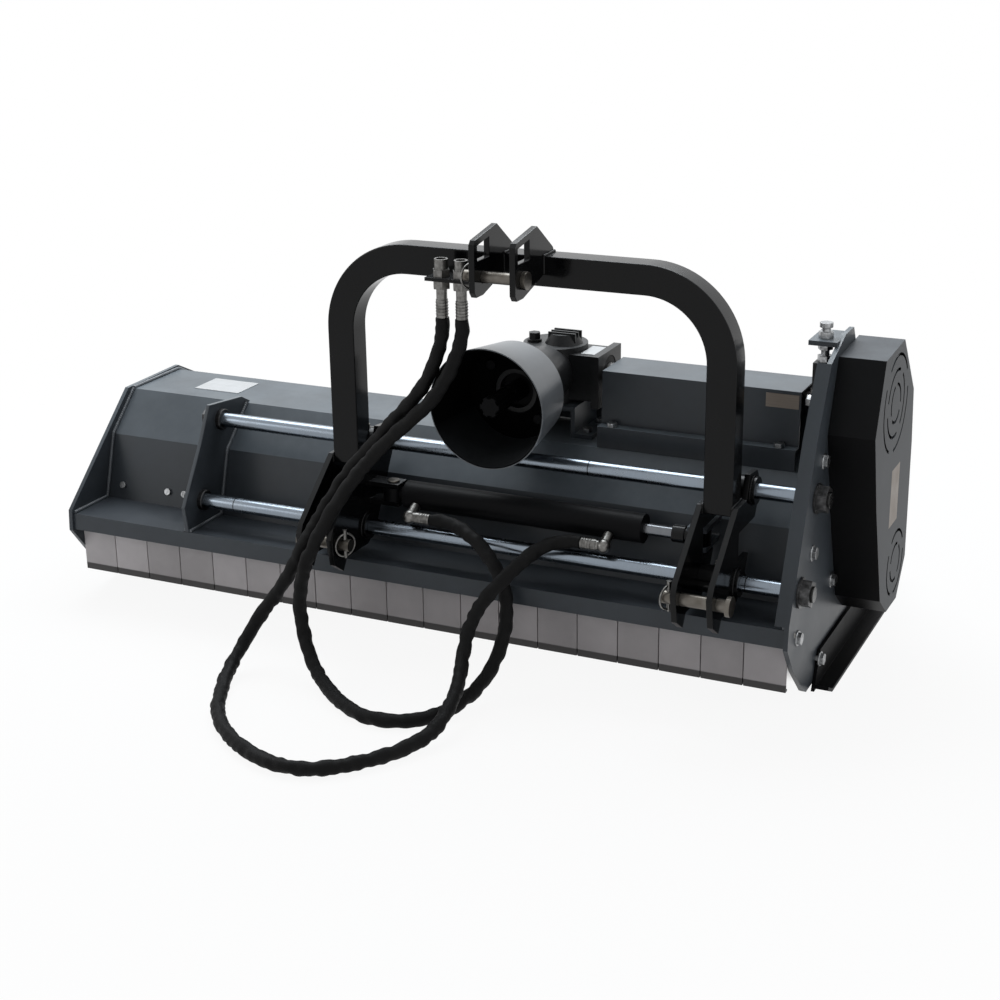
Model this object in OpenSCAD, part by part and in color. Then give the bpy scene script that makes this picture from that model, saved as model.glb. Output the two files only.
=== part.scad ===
// Flail mower with a hydraulic side shift, for a three point linkage
// X runs along the rotor towards the belt side, -Y faces the tractor, Z is up from the ground

/* [Housing] */
// Clear width between the end plates
inner_w = 1392; // [1350:2:1460]
// Thickness of the end plates
plate_t = 8; // [6:0.5:10]
// Thickness of the hood sheet
hood_t = 5; // [3:0.5:6]
// Height of the deck above the ground
deck_z = 360; // [354:1:366]
// Height of the ledge in the hitch bay
ledge_z = 170; // [164:1:174]
// Height of the folded lip in front of the ledge
lip_h = 31; // [24:1:34]
// Width of the folded front edge of the right end plate
flange_w = 16; // [12:1:24]
// Thickness of the folded front edge of the right end plate
flange_t = 6; // [4:0.5:8]

/* [Flaps] */
// Number of flaps in the front row
flap_count = 19; // [15:1:21]
// Length of a flap below its rod
flap_h = 100; // [84:1:104]
// Thickness of a flap
flap_t = 4; // [3:0.5:5]
// Gap between two flaps
flap_gap = 1.5; // [1:0.5:4]
// Diameter of the flap rod
flap_rod_d = 10; // [8:0.5:12]
// Distance of the flaps behind the hood's front lip
flap_set_back = 21; // [14:1:23]

/* [Slide bars] */
// Diameter of a slide bar
bar_d = 27; // [24:0.5:30]
// Clear length from the left end plate to the gusset
gusset_inset = 254; // [240:2:262]
// Thickness of the gusset
gusset_t = 8; // [6:0.5:10]
// Distance of the upper bar in front of the rotor axis
upper_bar_reach = 253; // [250:1:256]
// Height of the upper bar
upper_bar_z = 352; // [348:1:353]
// Distance of the lower bar in front of the rotor axis
lower_bar_reach = 329; // [327:1:332]
// Height of the lower bar
lower_bar_z = 217; // [215:1:219]
// Length of a slide sleeve
sleeve_len = 84; // [80:1:90]
// Wall of a slide sleeve
sleeve_t = 10; // [8:0.5:11]

/* [Hitch frame] */
// Distance of the right lower link's middle from the right end plate
right_leg_inset = 132; // [128:1:140]
// Distance between the middles of the lower link pins
pin_spread = 684; // [676:1:690]
// Width of the arch tube
tube_w = 50; // [44:1:54]
// Depth of the arch tube
tube_d = 45; // [40:1:48]
// Wall of the arch tube
tube_t = 5; // [3:0.5:6]
// Height of the top of the arch
arch_top_z = 729; // [724:1:740]
// Outer radius of the arch corners
arch_r = 155; // [130:1:180]
// Height of the feet of the arch
foot_z = 330; // [324:1:340]
// Distance of the front of the arch in front of the rotor axis
arch_reach = 335; // [330:1:338]
// Thickness of a bracket cheek
cheek_t = 10; // [8:0.5:12]
// Diameter of a lower link pin
lower_pin_d = 22; // [20:0.5:24]
// Distance of the lower link pins in front of the rotor axis
lower_pin_reach = 429; // [427:1:433]
// Height of the lower link pins
lower_pin_z = 217; // [214:1:220]
// Diameter of the top link pin
top_pin_d = 19; // [18:0.5:22]
// Height of the top link pin
top_pin_z = 706; // [704:1:709]
// Distance of the top link pin in front of the rotor axis
top_pin_reach = 415; // [411:1:420]
// Gap between the top link lugs
link_gap = 60; // [50:1:64]
// Thickness of a top link lug
lug_t = 10; // [8:0.5:14]

/* [Side shift ram] */
// Outer diameter of the ram barrel
barrel_d = 50; // [46:0.5:52]
// Bore of the ram barrel
bore_d = 40; // [34:0.5:42]
// Diameter of the ram rod
rod_d = 20; // [16:0.5:22]
// Distance of the ram in front of the rotor axis
ram_reach = 300; // [298:1:303]
// Height of the ram
ram_z = 276; // [274:1:277]
// Length of the ram barrel
barrel_len = 445; // [435:1:448]
// Diameter of the ram's end pins
ram_pin_d = 16; // [14:0.5:18]

/* [Drive line] */
// Distance of the input shaft from the hitch centre line
pto_offset = 54; // [50:1:60]
// Height of the input shaft and of the cross shaft
shaft_z = 470; // [469:1:476]
// Distance of the cross shaft in front of the rotor axis
shaft_reach = 70; // [67:1:73]
// Diameter of the cross shaft and of the input shaft
shaft_d = 35; // [30:0.5:38]
// Outer diameter of the input shaft guard at its mouth
guard_d = 208; // [196:1:209]
// Outer diameter of the input shaft guard at the gearbox
guard_back_d = 176; // [172:1:190]
// Length of the input shaft guard
guard_len = 124; // [110:1:126]
// Wall of the input shaft guard
guard_t = 4; // [3:0.5:6]
// Thickness of the shaft box sheet
box_t = 3; // [2:0.5:4]

/* [Belt drive] */
// Diameter of the drive pulley
drive_pulley_d = 176; // [164:1:180]
// Diameter of the rotor pulley
rotor_pulley_d = 124; // [116:1:132]
// Number of belts
belt_count = 3; // [1:1:3]
// Width of a belt
belt_w = 14; // [10:0.5:15]
// Thickness of a belt
belt_t = 10; // [8:0.5:12]
// Depth of the belt cover
cover_depth = 78; // [76:1:90]
// Wall of the belt cover
cover_t = 3; // [2:0.5:4]

/* [Rotor] */
// Height of the rotor axis
rotor_z = 162; // [160:1:166]
// Diameter of the rotor tube
rotor_d = 90; // [80:1:96]
// Wall of the rotor tube
rotor_t = 7; // [5:0.5:9]
// Diameter of the rotor's stub shafts
stub_d = 40; // [36:0.5:42]
// Hammers in each of the two rows
hammer_count = 12; // [8:1:14]
// Distance of the hammer bolts from the rotor axis
hammer_r = 82; // [80:1:84]
// Length of a hammer from its bolt
hammer_len = 58; // [50:1:60]
// Width of a hammer
hammer_w = 38; // [30:1:40]
// Diameter of a hammer bolt
hammer_bolt_d = 14; // [12:0.5:15]

/* [Skids and roller] */
// Width of a skid sole beyond the end plate
skid_w = 34; // [28:1:40]
// Thickness of a skid
skid_t = 6; // [5:0.5:7]
// Height of a skid's upright flange
skid_h = 66; // [60:1:69]
// Diameter of the rear roller
roller_d = 110; // [100:1:114]
// Distance of the roller behind the rotor axis
roller_back = 285; // [283:1:295]
// Clearance of the roller above the ground when the skids carry the machine
roller_lift = 4; // [2:0.5:8]

/* [Hoses] */
// Outer diameter of a hose in its sleeve
hose_d = 25; // [22:0.5:25]
// Outer diameter of a hose ferrule
ferrule_d = 20; // [18:0.5:22]

/* [Hidden] */
$fn = 48;

// Clearances shared by every fit
run_gap = 0.08;
seat_gap = 0.1;
bolt_gap = 0.3;
belt_gap = 0.4;
mesh_gap = 0.6;

// Finishes
housing_grey = "#4b5057";
gloss_black = "#17181a";
bright_steel = "#c9ccd0";
dull_steel = "#85878a";
flap_grey = "#8d8884";
plate_grey = "#b9bcc0";

// Places along the machine
half_w = inner_w / 2;
plate_out = half_w + plate_t;
gusset_x = -half_w + gusset_inset + gusset_t;
cover_x = plate_out + cover_depth;
hitch_x = half_w - right_leg_inset - pin_spread / 2;
pto_x = hitch_x - pto_offset;
left_leg_x = hitch_x - pin_spread / 2;
right_leg_x = hitch_x + pin_spread / 2;

// Axes across the machine, as points in the plane of Y and Z
rotor_at = [0, rotor_z];
upper_bar_at = [-upper_bar_reach, upper_bar_z];
lower_bar_at = [-lower_bar_reach, lower_bar_z];
lower_pin_at = [-lower_pin_reach, lower_pin_z];
top_pin_at = [-top_pin_reach, top_pin_z];
ram_at = [-ram_reach, ram_z];
shaft_at = [-shaft_reach, shaft_z];
roller_at = [roller_back, roller_d / 2 + roller_lift];
arch_front = -arch_reach;
arch_back = tube_d - arch_reach;

// Hood profile from the lip over the deck to the rear edge
lip_y = -383;
lip_lean = 2;
wall_foot = [-275, ledge_z];
wall_fold = [-240, 289];
deck_front = [-165, deck_z];
deck_rear = [-13, deck_z];
rear_fold = [125, 290];
rear_low = [215, 165];
rear_edge = [222, 112];
hood_path = [[lip_y, ledge_z - lip_h], [lip_y + lip_lean, ledge_z], wall_foot, wall_fold,
    deck_front, deck_rear, rear_fold, rear_low, rear_edge];

// End plate outlines in Y and Z
plate_foot_z = 12;
nose_low = [-388, 138];
nose_high = [-385, 177];
plate_tail = [[234, 44], [214, plate_foot_z], [-262, plate_foot_z], [-279, 21], [-348, 86]];
plate_rear = [[130, 298], [226, 168]];
left_outline = concat([nose_low, nose_high, [-180, deck_z + 5], [-10, deck_z + 8]], plate_rear, plate_tail);
flange_path = [nose_high, [-266, 452], [-200, 562]];
right_top = [[-118, 592], [-66, 592], [10, 470]];
right_outline = concat([nose_low], flange_path, right_top, plate_rear, plate_tail);

// Overall reach, which puts the origin under the middle of the machine
nose_reach = 29;
mid_x = (cover_depth - skid_w) / 2;
mid_y = (roller_back + roller_d / 2 - lower_pin_reach - nose_reach) / 2;

// Direction helpers for bent sheets
function unit(v) = v / norm(v);
function left_normal(a, b) = let (d = unit(b - a)) [-d[1], d[0]];
function joint_normal(p, i) = let (
    before = i == 0 ? left_normal(p[0], p[1]) : left_normal(p[i - 1], p[i]),
    after = i == len(p) - 1 ? before : left_normal(p[i], p[i + 1]),
    middle = unit(before + after)) middle / (middle * before);
function shifted(p, by) = [for (i = [0 : len(p) - 1]) p[i] + joint_normal(p, i) * by];
function reversed(p) = [for (i = [len(p) - 1 : -1 : 0]) p[i]];
function ring_normal(p, i) = let (
    n = len(p),
    before = left_normal(p[(i + n - 1) % n], p[i]),
    after = left_normal(p[i], p[(i + 1) % n]),
    middle = unit(before + after)) middle / (middle * before);
function ring_shifted(p, by) = [for (i = [0 : len(p) - 1]) p[i] + ring_normal(p, i) * by];
function on_line(a, b, z) = a[0] + (b[0] - a[0]) * (z - a[1]) / (b[1] - a[1]);

// Puts a piece in the finished frame
module placed() {
    translate([-mid_x, -mid_y, 0])
        children();
}

// Extrudes an outline in Y and Z from one X to another
module slab(x0, x1) {
    translate([x0, 0, 0])
        rotate([90, 0, 90])
            linear_extrude(x1 - x0)
                children();
}

// Round bar along X, Y or Z
module rod_x(at, d, x0, x1) {
    translate([x0, at[0], at[1]])
        rotate([0, 90, 0])
            cylinder(d = d, h = x1 - x0);
}
module rod_y(x, z, d, y0, y1) {
    translate([x, y0, z])
        rotate([-90, 0, 0])
            cylinder(d = d, h = y1 - y0);
}
module rod_z(x, y, d, z0, z1) {
    translate([x, y, z0])
        cylinder(d = d, h = z1 - z0);
}
module ring_x(at, d_out, d_in, x0, x1) {
    difference() {
        rod_x(at, d_out, x0, x1);
        rod_x(at, d_in, x0 - 1, x1 + 1);
    }
}
module hex_x(at, across, x0, x1) {
    translate([x0, at[0], at[1]])
        rotate([0, 90, 0])
            cylinder(d = across / cos(30), h = x1 - x0, $fn = 6);
}
module hex_z(x, y, across, z0, z1) {
    translate([x, y, z0])
        cylinder(d = across / cos(30), h = z1 - z0, $fn = 6);
}
module block(x0, x1, y0, y1, z0, z1) {
    translate([x0, y0, z0])
        cube([x1 - x0, y1 - y0, z1 - z0]);
}
module bent_sheet(path, t) {
    polygon(concat(path, reversed(shifted(path, -t))));
}

// Fasteners through the end plates
plate_bolt_d = 12;
bolt_head_w = 19;
bolt_head_h = 8;
nut_h = 10;
skid_bolts = [[-205, 50], [90, 40]];
bracket_bolts = [[160, 90], [200, 90]];
trim_bolts = [[-220, 405], [-265, 262], [-333, 139], [-132, 166]];
bearing_bolt_r = 50;
bearing_bolts = [for (a = [45 : 90 : 315]) rotor_at + bearing_bolt_r * [cos(a), sin(a)]];
carrier_bolt_r = 41;
carrier_bolts = [for (a = [0 : 90 : 270]) shaft_at + carrier_bolt_r * [cos(a), sin(a)]];
module plate_holes(points, x0, x1) {
    for (p = points)
        rod_x(p, plate_bolt_d + 2 * bolt_gap, x0, x1);
}

// Hood
wall_bolt_d = 10;
wall_bolt_up = 27;
wall_bolt_xs = [for (s = [0.14, 0.55, 0.7]) -half_w + gusset_inset * s];
wall_angle = atan2(wall_fold[1] - wall_foot[1], wall_fold[0] - wall_foot[0]);
deck_bolt_d = 10;
module on_wall(x) {
    translate([x, wall_foot[0], wall_foot[1]])
        rotate([wall_angle, 0, 0])
            translate([0, wall_bolt_up, 0])
                children();
}
module deck_bolt_places() {
    for (x = box_bolt_xs)
        translate([x, box_back + foot_w / 2, deck_z + box_t])
            children();
    for (x = stand_foot_xs)
        for (y = [stand_y0 + 22, stand_y1 - 22])
            translate([x, y, deck_z + stand_t])
                children();
}
module ledge_bolt_places() {
    for (x = box_bolt_xs)
        translate([x, box_front - box_lean - foot_w / 2, deck_z + plinth_h])
            children();
}
module hood() {
    placed() color(housing_grey)
        difference() {
            slab(-half_w, half_w)
                bent_sheet(hood_path, hood_t);
            for (x = wall_bolt_xs)
                on_wall(x)
                    translate([0, 0, -2 * hood_t])
                        cylinder(d = wall_bolt_d + 2 * bolt_gap, h = 4 * hood_t);
            deck_bolt_places()
                translate([0, 0, -40])
                    cylinder(d = deck_bolt_d + 2 * bolt_gap, h = 60);
        }
}

// End plates
shaft_slot_d = shaft_d + 26;
stub_hole_d = stub_d + 8;
tab_z = 586;
tab_t = 8;
tab_x0 = half_w - 44;
tab_y0 = -156;
tab_y1 = -74;
tension_bolt_d = 14;
tension_at = [half_w - 22, -130];
module left_end_plate() {
    placed() color(housing_grey)
        difference() {
            slab(-plate_out, -half_w)
                polygon(left_outline);
            rod_x(rotor_at, stub_hole_d, -plate_out - 1, -half_w + 1);
            rod_x(flap_rod_at, flap_rod_d + 2 * seat_gap, -plate_out - 1, -half_w + 1);
            plate_holes(concat(skid_bolts, bracket_bolts, bearing_bolts), -plate_out - 1, -half_w + 1);
        }
}
module right_end_plate() {
    placed() color(housing_grey)
        difference() {
            union() {
                slab(half_w, plate_out)
                    polygon(right_outline);
                slab(half_w - flange_w, half_w + plate_t / 2)
                    bent_sheet(flange_path, flange_t);
                block(tab_x0, half_w + plate_t / 2, tab_y0, tab_y1, tab_z - tab_t, tab_z);
            }
            rod_z(tension_at[0], tension_at[1], tension_bolt_d + 2 * bolt_gap, tab_z - tab_t - 1, tab_z + 1);
            rod_x(rotor_at, stub_hole_d, half_w - 1, plate_out + 1);
            rod_x(shaft_at, shaft_slot_d, half_w - 1, plate_out + 1);
            rod_x(flap_rod_at, flap_rod_d + 2 * seat_gap, half_w - 1, plate_out + 1);
            for (at = [upper_bar_at, lower_bar_at])
                rod_x(at, bar_d + 2 * seat_gap, half_w - 1, plate_out + 1);
            plate_holes(concat(skid_bolts, bracket_bolts, bearing_bolts, carrier_bolts, trim_bolts),
                half_w - 1, plate_out + 1);
        }
}
module gusset() {
    edge = [[lip_y + lip_lean, ledge_z], lower_bar_at + [-59, 2], upper_bar_at + [-71, -33],
        upper_bar_at + [-33, 36], deck_front + [-14, 16], deck_front + [15, 0], deck_front,
        wall_fold, wall_foot];
    placed() color(housing_grey)
        difference() {
            slab(gusset_x - gusset_t, gusset_x)
                polygon(edge);
            for (at = [upper_bar_at, lower_bar_at])
                rod_x(at, bar_d + 2 * seat_gap, gusset_x - gusset_t - 1, gusset_x + 1);
        }
}

// Slide bars and their end nuts
bar_nut_h = 16;
bar_washer_h = 4;
bar_tail = bar_nut_h + bar_washer_h + 4;
module slide_bar(at) {
    color(bright_steel)
        rod_x(at, bar_d, gusset_x - gusset_t - bar_tail, plate_out + bar_tail);
}
module upper_bar() {
    placed() slide_bar(upper_bar_at);
}
module lower_bar() {
    placed() slide_bar(lower_bar_at);
}
module bar_nut(at, x, side) {
    hole = bar_d + 2 * seat_gap;
    washer = side * bar_washer_h;
    nut = side * (bar_washer_h + bar_nut_h);
    difference() {
        union() {
            rod_x(at, bar_d * 1.9, min(x, x + washer), max(x, x + washer));
            hex_x(at, bar_d * 1.5, min(x + washer, x + nut), max(x + washer, x + nut));
        }
        rod_x(at, hole, x - bar_tail, x + bar_tail);
    }
}
module bar_nuts() {
    placed() color(dull_steel)
        for (at = [upper_bar_at, lower_bar_at]) {
            bar_nut(at, gusset_x - gusset_t, -1);
            bar_nut(at, plate_out, 1);
        }
}

// Front flaps on their rod
knuckle_d = flap_rod_d + 7;
flap_rod_at = [lip_y + hood_t + knuckle_d / 2 + flap_set_back, ledge_z - 20];
flap_pitch = inner_w / flap_count;
module flap_rod() {
    placed() color(dull_steel)
        rod_x(flap_rod_at, flap_rod_d, -plate_out, plate_out);
}
module front_flaps() {
    face = flap_rod_at[0] - knuckle_d / 2;
    fold = 9;
    placed() color(flap_grey)
        for (i = [0 : flap_count - 1]) {
            x0 = -half_w + i * flap_pitch + flap_gap / 2;
            x1 = x0 + flap_pitch - flap_gap;
            difference() {
                union() {
                    block(x0, x1, face, face + flap_t, flap_rod_at[1] - flap_h, flap_rod_at[1]);
                    block(x0, x1, face, face + fold, flap_rod_at[1] - flap_h, flap_rod_at[1] - flap_h + flap_t);
                    rod_x(flap_rod_at, knuckle_d, x0, x1);
                }
                rod_x(flap_rod_at, flap_rod_d + 2 * run_gap, x0 - 1, x1 + 1);
            }
        }
}

// Hitch arch, a bent tube with open feet
module arch_section(inset) {
    translate([inset, inset])
        square([tube_w - 2 * inset, tube_d - 2 * inset]);
}
module arch_bend(inset) {
    rotate([90, 0, 0])
        rotate_extrude(angle = 90)
            translate([arch_r - tube_w, -tube_d])
                arch_section(inset);
}
module arch_run(inset, over) {
    half = pin_spread / 2 + tube_w / 2;
    bend_z = arch_top_z - arch_r;
    translate([hitch_x, arch_front, 0]) {
        for (side = [0, 1])
            mirror([side, 0, 0]) {
                translate([half - arch_r, 0, bend_z])
                    arch_bend(inset);
                translate([half - tube_w, 0, foot_z - over])
                    linear_extrude(bend_z - foot_z + over)
                        arch_section(inset);
            }
        translate([arch_r - half, 0, arch_top_z - tube_w])
            rotate([90, 0, 90])
                linear_extrude(2 * (half - arch_r))
                    translate([inset, inset])
                        square([tube_d - 2 * inset, tube_w - 2 * inset]);
    }
}
module hitch_arch() {
    placed() color(gloss_black)
        difference() {
            arch_run(0, 0);
            arch_run(tube_t, 1);
        }
}

// Hitch brackets: two cheeks on each leg that carry the sleeves and the lower link pin
sleeve_d = bar_d + 2 * sleeve_t;
eye_half_h = 12;
clevis_t = 8;
clevis_gap = 0.5;
cheek_lap = 16;
cheek_outline = [[arch_front, foot_z + cheek_lap], lower_pin_at + [-20, 34],
    lower_pin_at + [-nose_reach, 15], lower_pin_at + [-19, -34], lower_pin_at + [10, -54],
    [lip_y - 22, ledge_z + 14], lower_bar_at + [0, -34], lower_bar_at + [30, -14],
    upper_bar_at + [31, -14], upper_bar_at + [33, 6], upper_bar_at + [18, 30], upper_bar_at + [-22, 34],
    [arch_back, foot_z + cheek_lap]];
notch_half_h = 26;
notch_front = ram_at[0] - 27;
module cheek_pair(leg_x) {
    for (x = [leg_x - tube_w / 2 - cheek_t, leg_x + tube_w / 2])
        difference() {
            slab(x, x + cheek_t)
                polygon(cheek_outline);
            for (at = [upper_bar_at, lower_bar_at])
                rod_x(at, sleeve_d + 2 * seat_gap, x - 1, x + cheek_t + 1);
            rod_x(lower_pin_at, lower_pin_d + 2 * seat_gap, x - 1, x + cheek_t + 1);
        }
}
base_pin_x = left_leg_x + tube_w / 2 + cheek_t + 40;
module left_bracket() {
    face = left_leg_x + tube_w / 2 + cheek_t;
    placed() color(gloss_black) {
        cheek_pair(left_leg_x);
        for (z = [ram_at[1] + eye_half_h + clevis_gap, ram_at[1] - eye_half_h - clevis_gap - clevis_t])
            difference() {
                block(face, base_pin_x + 17, ram_at[0] - 17, ram_at[0] + 17, z, z + clevis_t);
                rod_z(base_pin_x, ram_at[0], ram_pin_d + 2 * seat_gap, z - 1, z + clevis_t + 1);
            }
    }
}
module right_bracket() {
    placed() color(gloss_black)
        difference() {
            cheek_pair(right_leg_x);
            block(right_leg_x - 60, right_leg_x + 60, notch_front, -150,
                ram_at[1] - notch_half_h, ram_at[1] + notch_half_h);
        }
}
module slide_sleeves() {
    placed() color(gloss_black)
        for (x = [left_leg_x, right_leg_x])
            for (at = [upper_bar_at, lower_bar_at])
                ring_x(at, sleeve_d, bar_d + 2 * run_gap, x - sleeve_len / 2, x + sleeve_len / 2);
}
module grease_nipples() {
    nipple_d = 8;
    placed() color(bright_steel)
        for (x = [left_leg_x, right_leg_x])
            for (at = [upper_bar_at, lower_bar_at]) {
                seat_z = at[1] + sleeve_d / 2 + seat_gap;
                rod_z(x, at[0], nipple_d, seat_z, seat_z + 5);
                rod_z(x, at[0], nipple_d * 0.6, seat_z + 5, seat_z + 11);
            }
}

// Top link lugs over the arch and the three link pins
lug_front = top_pin_at[0] - 31;
lug_peak_y = arch_front - 25;
lug_window_y = (lug_front + arch_front) / 2;
module top_link_lugs() {
    top = arch_top_z;
    under = top - tube_w + 20;
    edge = [top_pin_at + [-31, -20], top_pin_at + [-24, -29], top_pin_at + [0, -29], [arch_front, under],
        [arch_front, top], [arch_back - 2, top], [arch_back - 8, top + 9], [lug_peak_y, top + 53],
        [lug_front + 6, top + 40], [lug_front, top + 33]];
    window = [[lug_front + 12, top + 6], [lug_window_y, top + 6], [lug_window_y, top + 37],
        [lug_front + 12, top + 30]];
    placed() color(gloss_black)
        for (x = [hitch_x - link_gap / 2 - lug_t, hitch_x + link_gap / 2])
            difference() {
                slab(x, x + lug_t)
                    difference() {
                        polygon(edge);
                        polygon(window);
                    }
                rod_x(top_pin_at, top_pin_d + 2 * seat_gap, x - 1, x + lug_t + 1);
            }
}
linch_d = 8;
linch_ring_r = 20;
linch_wire_d = 4;
pin_tail = 22;
pin_head_h = 8;
right_pin_lead = 16;
lower_half = tube_w / 2 + cheek_t;
top_half = link_gap / 2 + lug_t;
// Pin with its head on one side, by lead past the cheek, and a cross hole for its linch pin on the other
module link_pin(at, d, x, half, side, lead = 0) {
    head = x + side * (half + lead);
    tail = x - side * (half + pin_tail);
    cross = x - side * (half + pin_tail / 2);
    difference() {
        union() {
            rod_x(at, d, min(head, tail), max(head, tail));
            rod_x(at, d * 1.55, min(head + side * 0.3, head + side * pin_head_h),
                max(head + side * 0.3, head + side * pin_head_h));
        }
        rod_z(cross, at[0], linch_d + 2 * seat_gap, at[1] - d, at[1] + d);
    }
}
module linch_pin(at, x, half, side) {
    cross = x - side * (half + pin_tail / 2);
    rod_z(cross, at[0], linch_d, at[1] - linch_ring_r - 4, at[1] + linch_ring_r + 8);
    translate([cross, at[0], at[1]])
        rotate([0, 90, 0])
            rotate_extrude()
                translate([linch_ring_r, 0])
                    circle(d = linch_wire_d);
}
module top_pin() {
    placed() color(bright_steel)
        link_pin(top_pin_at, top_pin_d, hitch_x, top_half, 1);
}
module lower_pins() {
    placed() color(bright_steel) {
        link_pin(lower_pin_at, lower_pin_d, left_leg_x, lower_half, -1);
        link_pin(lower_pin_at, lower_pin_d, right_leg_x, lower_half, 1, right_pin_lead);
    }
}
module linch_pins() {
    placed() color(bright_steel) {
        linch_pin(top_pin_at, hitch_x, top_half, 1);
        linch_pin(lower_pin_at, left_leg_x, lower_half, -1);
        linch_pin(lower_pin_at, right_leg_x, lower_half, 1);
    }
}

// Side shift ram
barrel_x0 = base_pin_x + 28;
barrel_x1 = barrel_x0 + barrel_len;
gland_len = 24;
eye_x = barrel_x1 + 96;
eye_r = 19;
neck_d = 30;
piston_x = barrel_x0 + 92;
piston_len = 34;
port_angle = 28;
port_out = 51;
port_xs = [barrel_x0 + 26, barrel_x1 - 56];
elbow_at = ram_at - port_out * [cos(port_angle), sin(port_angle)];
module eye(x, from, to) {
    difference() {
        union() {
            rod_z(x, ram_at[0], 2 * eye_r, ram_at[1] - eye_half_h, ram_at[1] + eye_half_h);
            rod_x(ram_at, 2 * eye_half_h, min(from, to), max(from, to));
        }
        rod_z(x, ram_at[0], ram_pin_d + 2 * seat_gap, ram_at[1] - 30, ram_at[1] + 30);
    }
}
module ram_barrel() {
    placed() color(gloss_black) {
        difference() {
            rod_x(ram_at, barrel_d, barrel_x0, barrel_x1);
            rod_x(ram_at, bore_d, barrel_x0 + 14, barrel_x1 - gland_len);
            rod_x(ram_at, rod_d + 2 * run_gap, barrel_x1 - gland_len - 1, barrel_x1 + 1);
        }
        eye(base_pin_x, base_pin_x + eye_r - 3, barrel_x0);
    }
}
module ram_rod() {
    placed() color(bright_steel) {
        rod_x(ram_at, rod_d, piston_x, eye_x - eye_r - 4);
        rod_x(ram_at, bore_d - 2 * run_gap, piston_x, piston_x + piston_len);
    }
}
module rod_eye() {
    placed() color(gloss_black)
        difference() {
            union() {
                eye(eye_x, eye_x - eye_r + 3, eye_x - eye_r - 6);
                rod_x(ram_at, neck_d, eye_x - eye_r - 26, eye_x - eye_r - 5);
            }
            rod_x(ram_at, rod_d + 2 * seat_gap, eye_x - eye_r - 30, eye_x - eye_r - 4);
        }
}
module rod_lug() {
    placed() color(housing_grey)
        for (z = [ram_at[1] + eye_half_h + clevis_gap, ram_at[1] - eye_half_h - clevis_gap - clevis_t])
            difference() {
                slab(eye_x - 17, eye_x + 17)
                    polygon([[ram_at[0] - 17, z], [on_line(wall_foot, wall_fold, z), z],
                        [on_line(wall_foot, wall_fold, z + clevis_t), z + clevis_t],
                        [ram_at[0] - 17, z + clevis_t]]);
                rod_z(eye_x, ram_at[0], ram_pin_d + 2 * seat_gap, z - 1, z + clevis_t + 1);
            }
}
module ram_pin(x) {
    half = eye_half_h + clevis_gap + clevis_t;
    rod_z(x, ram_at[0], ram_pin_d, ram_at[1] - half - 2, ram_at[1] + half + 3);
    rod_z(x, ram_at[0], ram_pin_d + 6, ram_at[1] + half, ram_at[1] + half + 3);
}
module base_pin() {
    placed() color(bright_steel)
        ram_pin(base_pin_x);
}
module rod_pin() {
    placed() color(bright_steel)
        ram_pin(eye_x);
}

// Hose fittings on the ram and on the arch
elbow_d = 24;
boss_d = 18;
spigot_len = 12;
ferrule_len = 28;
bulkhead_xs = [hitch_x - 126, hitch_x - 90];
bulkhead_y = arch_front - 37;
bulkhead_z = arch_top_z - 44;
bulkhead_t = 6;
bulkhead_shank_d = 18;
bulkhead_hex_w = 26;
port_thread_d = 16.5;
port_depth = 14;
bulkhead_tail = 32;
bulkhead_ferrule_len = 31;
module port_elbows() {
    placed() color(dull_steel)
        for (i = [0, 1]) {
            side = 1 - 2 * i;
            x = port_xs[i];
            translate([x, ram_at[0], ram_at[1]])
                rotate([90 + port_angle, 0, 0])
                    translate([0, 0, barrel_d / 2 + seat_gap])
                        cylinder(d = boss_d, h = port_out - barrel_d / 2 - seat_gap);
            translate([x, elbow_at[0], elbow_at[1]])
                rotate([0, 0, -90])
                    sphere(d = elbow_d);
            rod_x(elbow_at, boss_d, min(x, x + side * spigot_len), max(x, x + side * spigot_len));
        }
}
module hose_ferrules() {
    placed() color(dull_steel) {
        for (i = [0, 1]) {
            side = 1 - 2 * i;
            a = port_xs[i] + side * spigot_len;
            b = a + side * ferrule_len;
            rod_x(elbow_at, ferrule_d, min(a, b), max(a, b));
        }
        for (x = bulkhead_xs)
            rod_z(x, bulkhead_y, ferrule_d, bulkhead_z - bulkhead_tail - bulkhead_ferrule_len,
                bulkhead_z - bulkhead_tail);
    }
}
module bulkhead_bracket() {
    placed() color(gloss_black)
        difference() {
            block(bulkhead_xs[0] - 22, bulkhead_xs[1] + 22, bulkhead_y - 18, arch_front,
                bulkhead_z, bulkhead_z + bulkhead_t);
            for (x = bulkhead_xs)
                rod_z(x, bulkhead_y, bulkhead_shank_d + 2 * bolt_gap, bulkhead_z - 1, bulkhead_z + bulkhead_t + 1);
        }
}
module bulkhead_fittings() {
    top = bulkhead_z + bulkhead_t;
    placed() color(dull_steel)
        for (x = bulkhead_xs)
            difference() {
                union() {
                    rod_z(x, bulkhead_y, bulkhead_shank_d, bulkhead_z - bulkhead_tail, top + 1);
                    hex_z(x, bulkhead_y, bulkhead_hex_w, bulkhead_z - 14, bulkhead_z);
                    hex_z(x, bulkhead_y, bulkhead_hex_w, top, top + 12);
                    rod_z(x, bulkhead_y, bulkhead_hex_w - 3, top + 12, top + 29);
                }
                rod_z(x, bulkhead_y, port_thread_d, top + 29 - port_depth, top + 30);
            }
}

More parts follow.
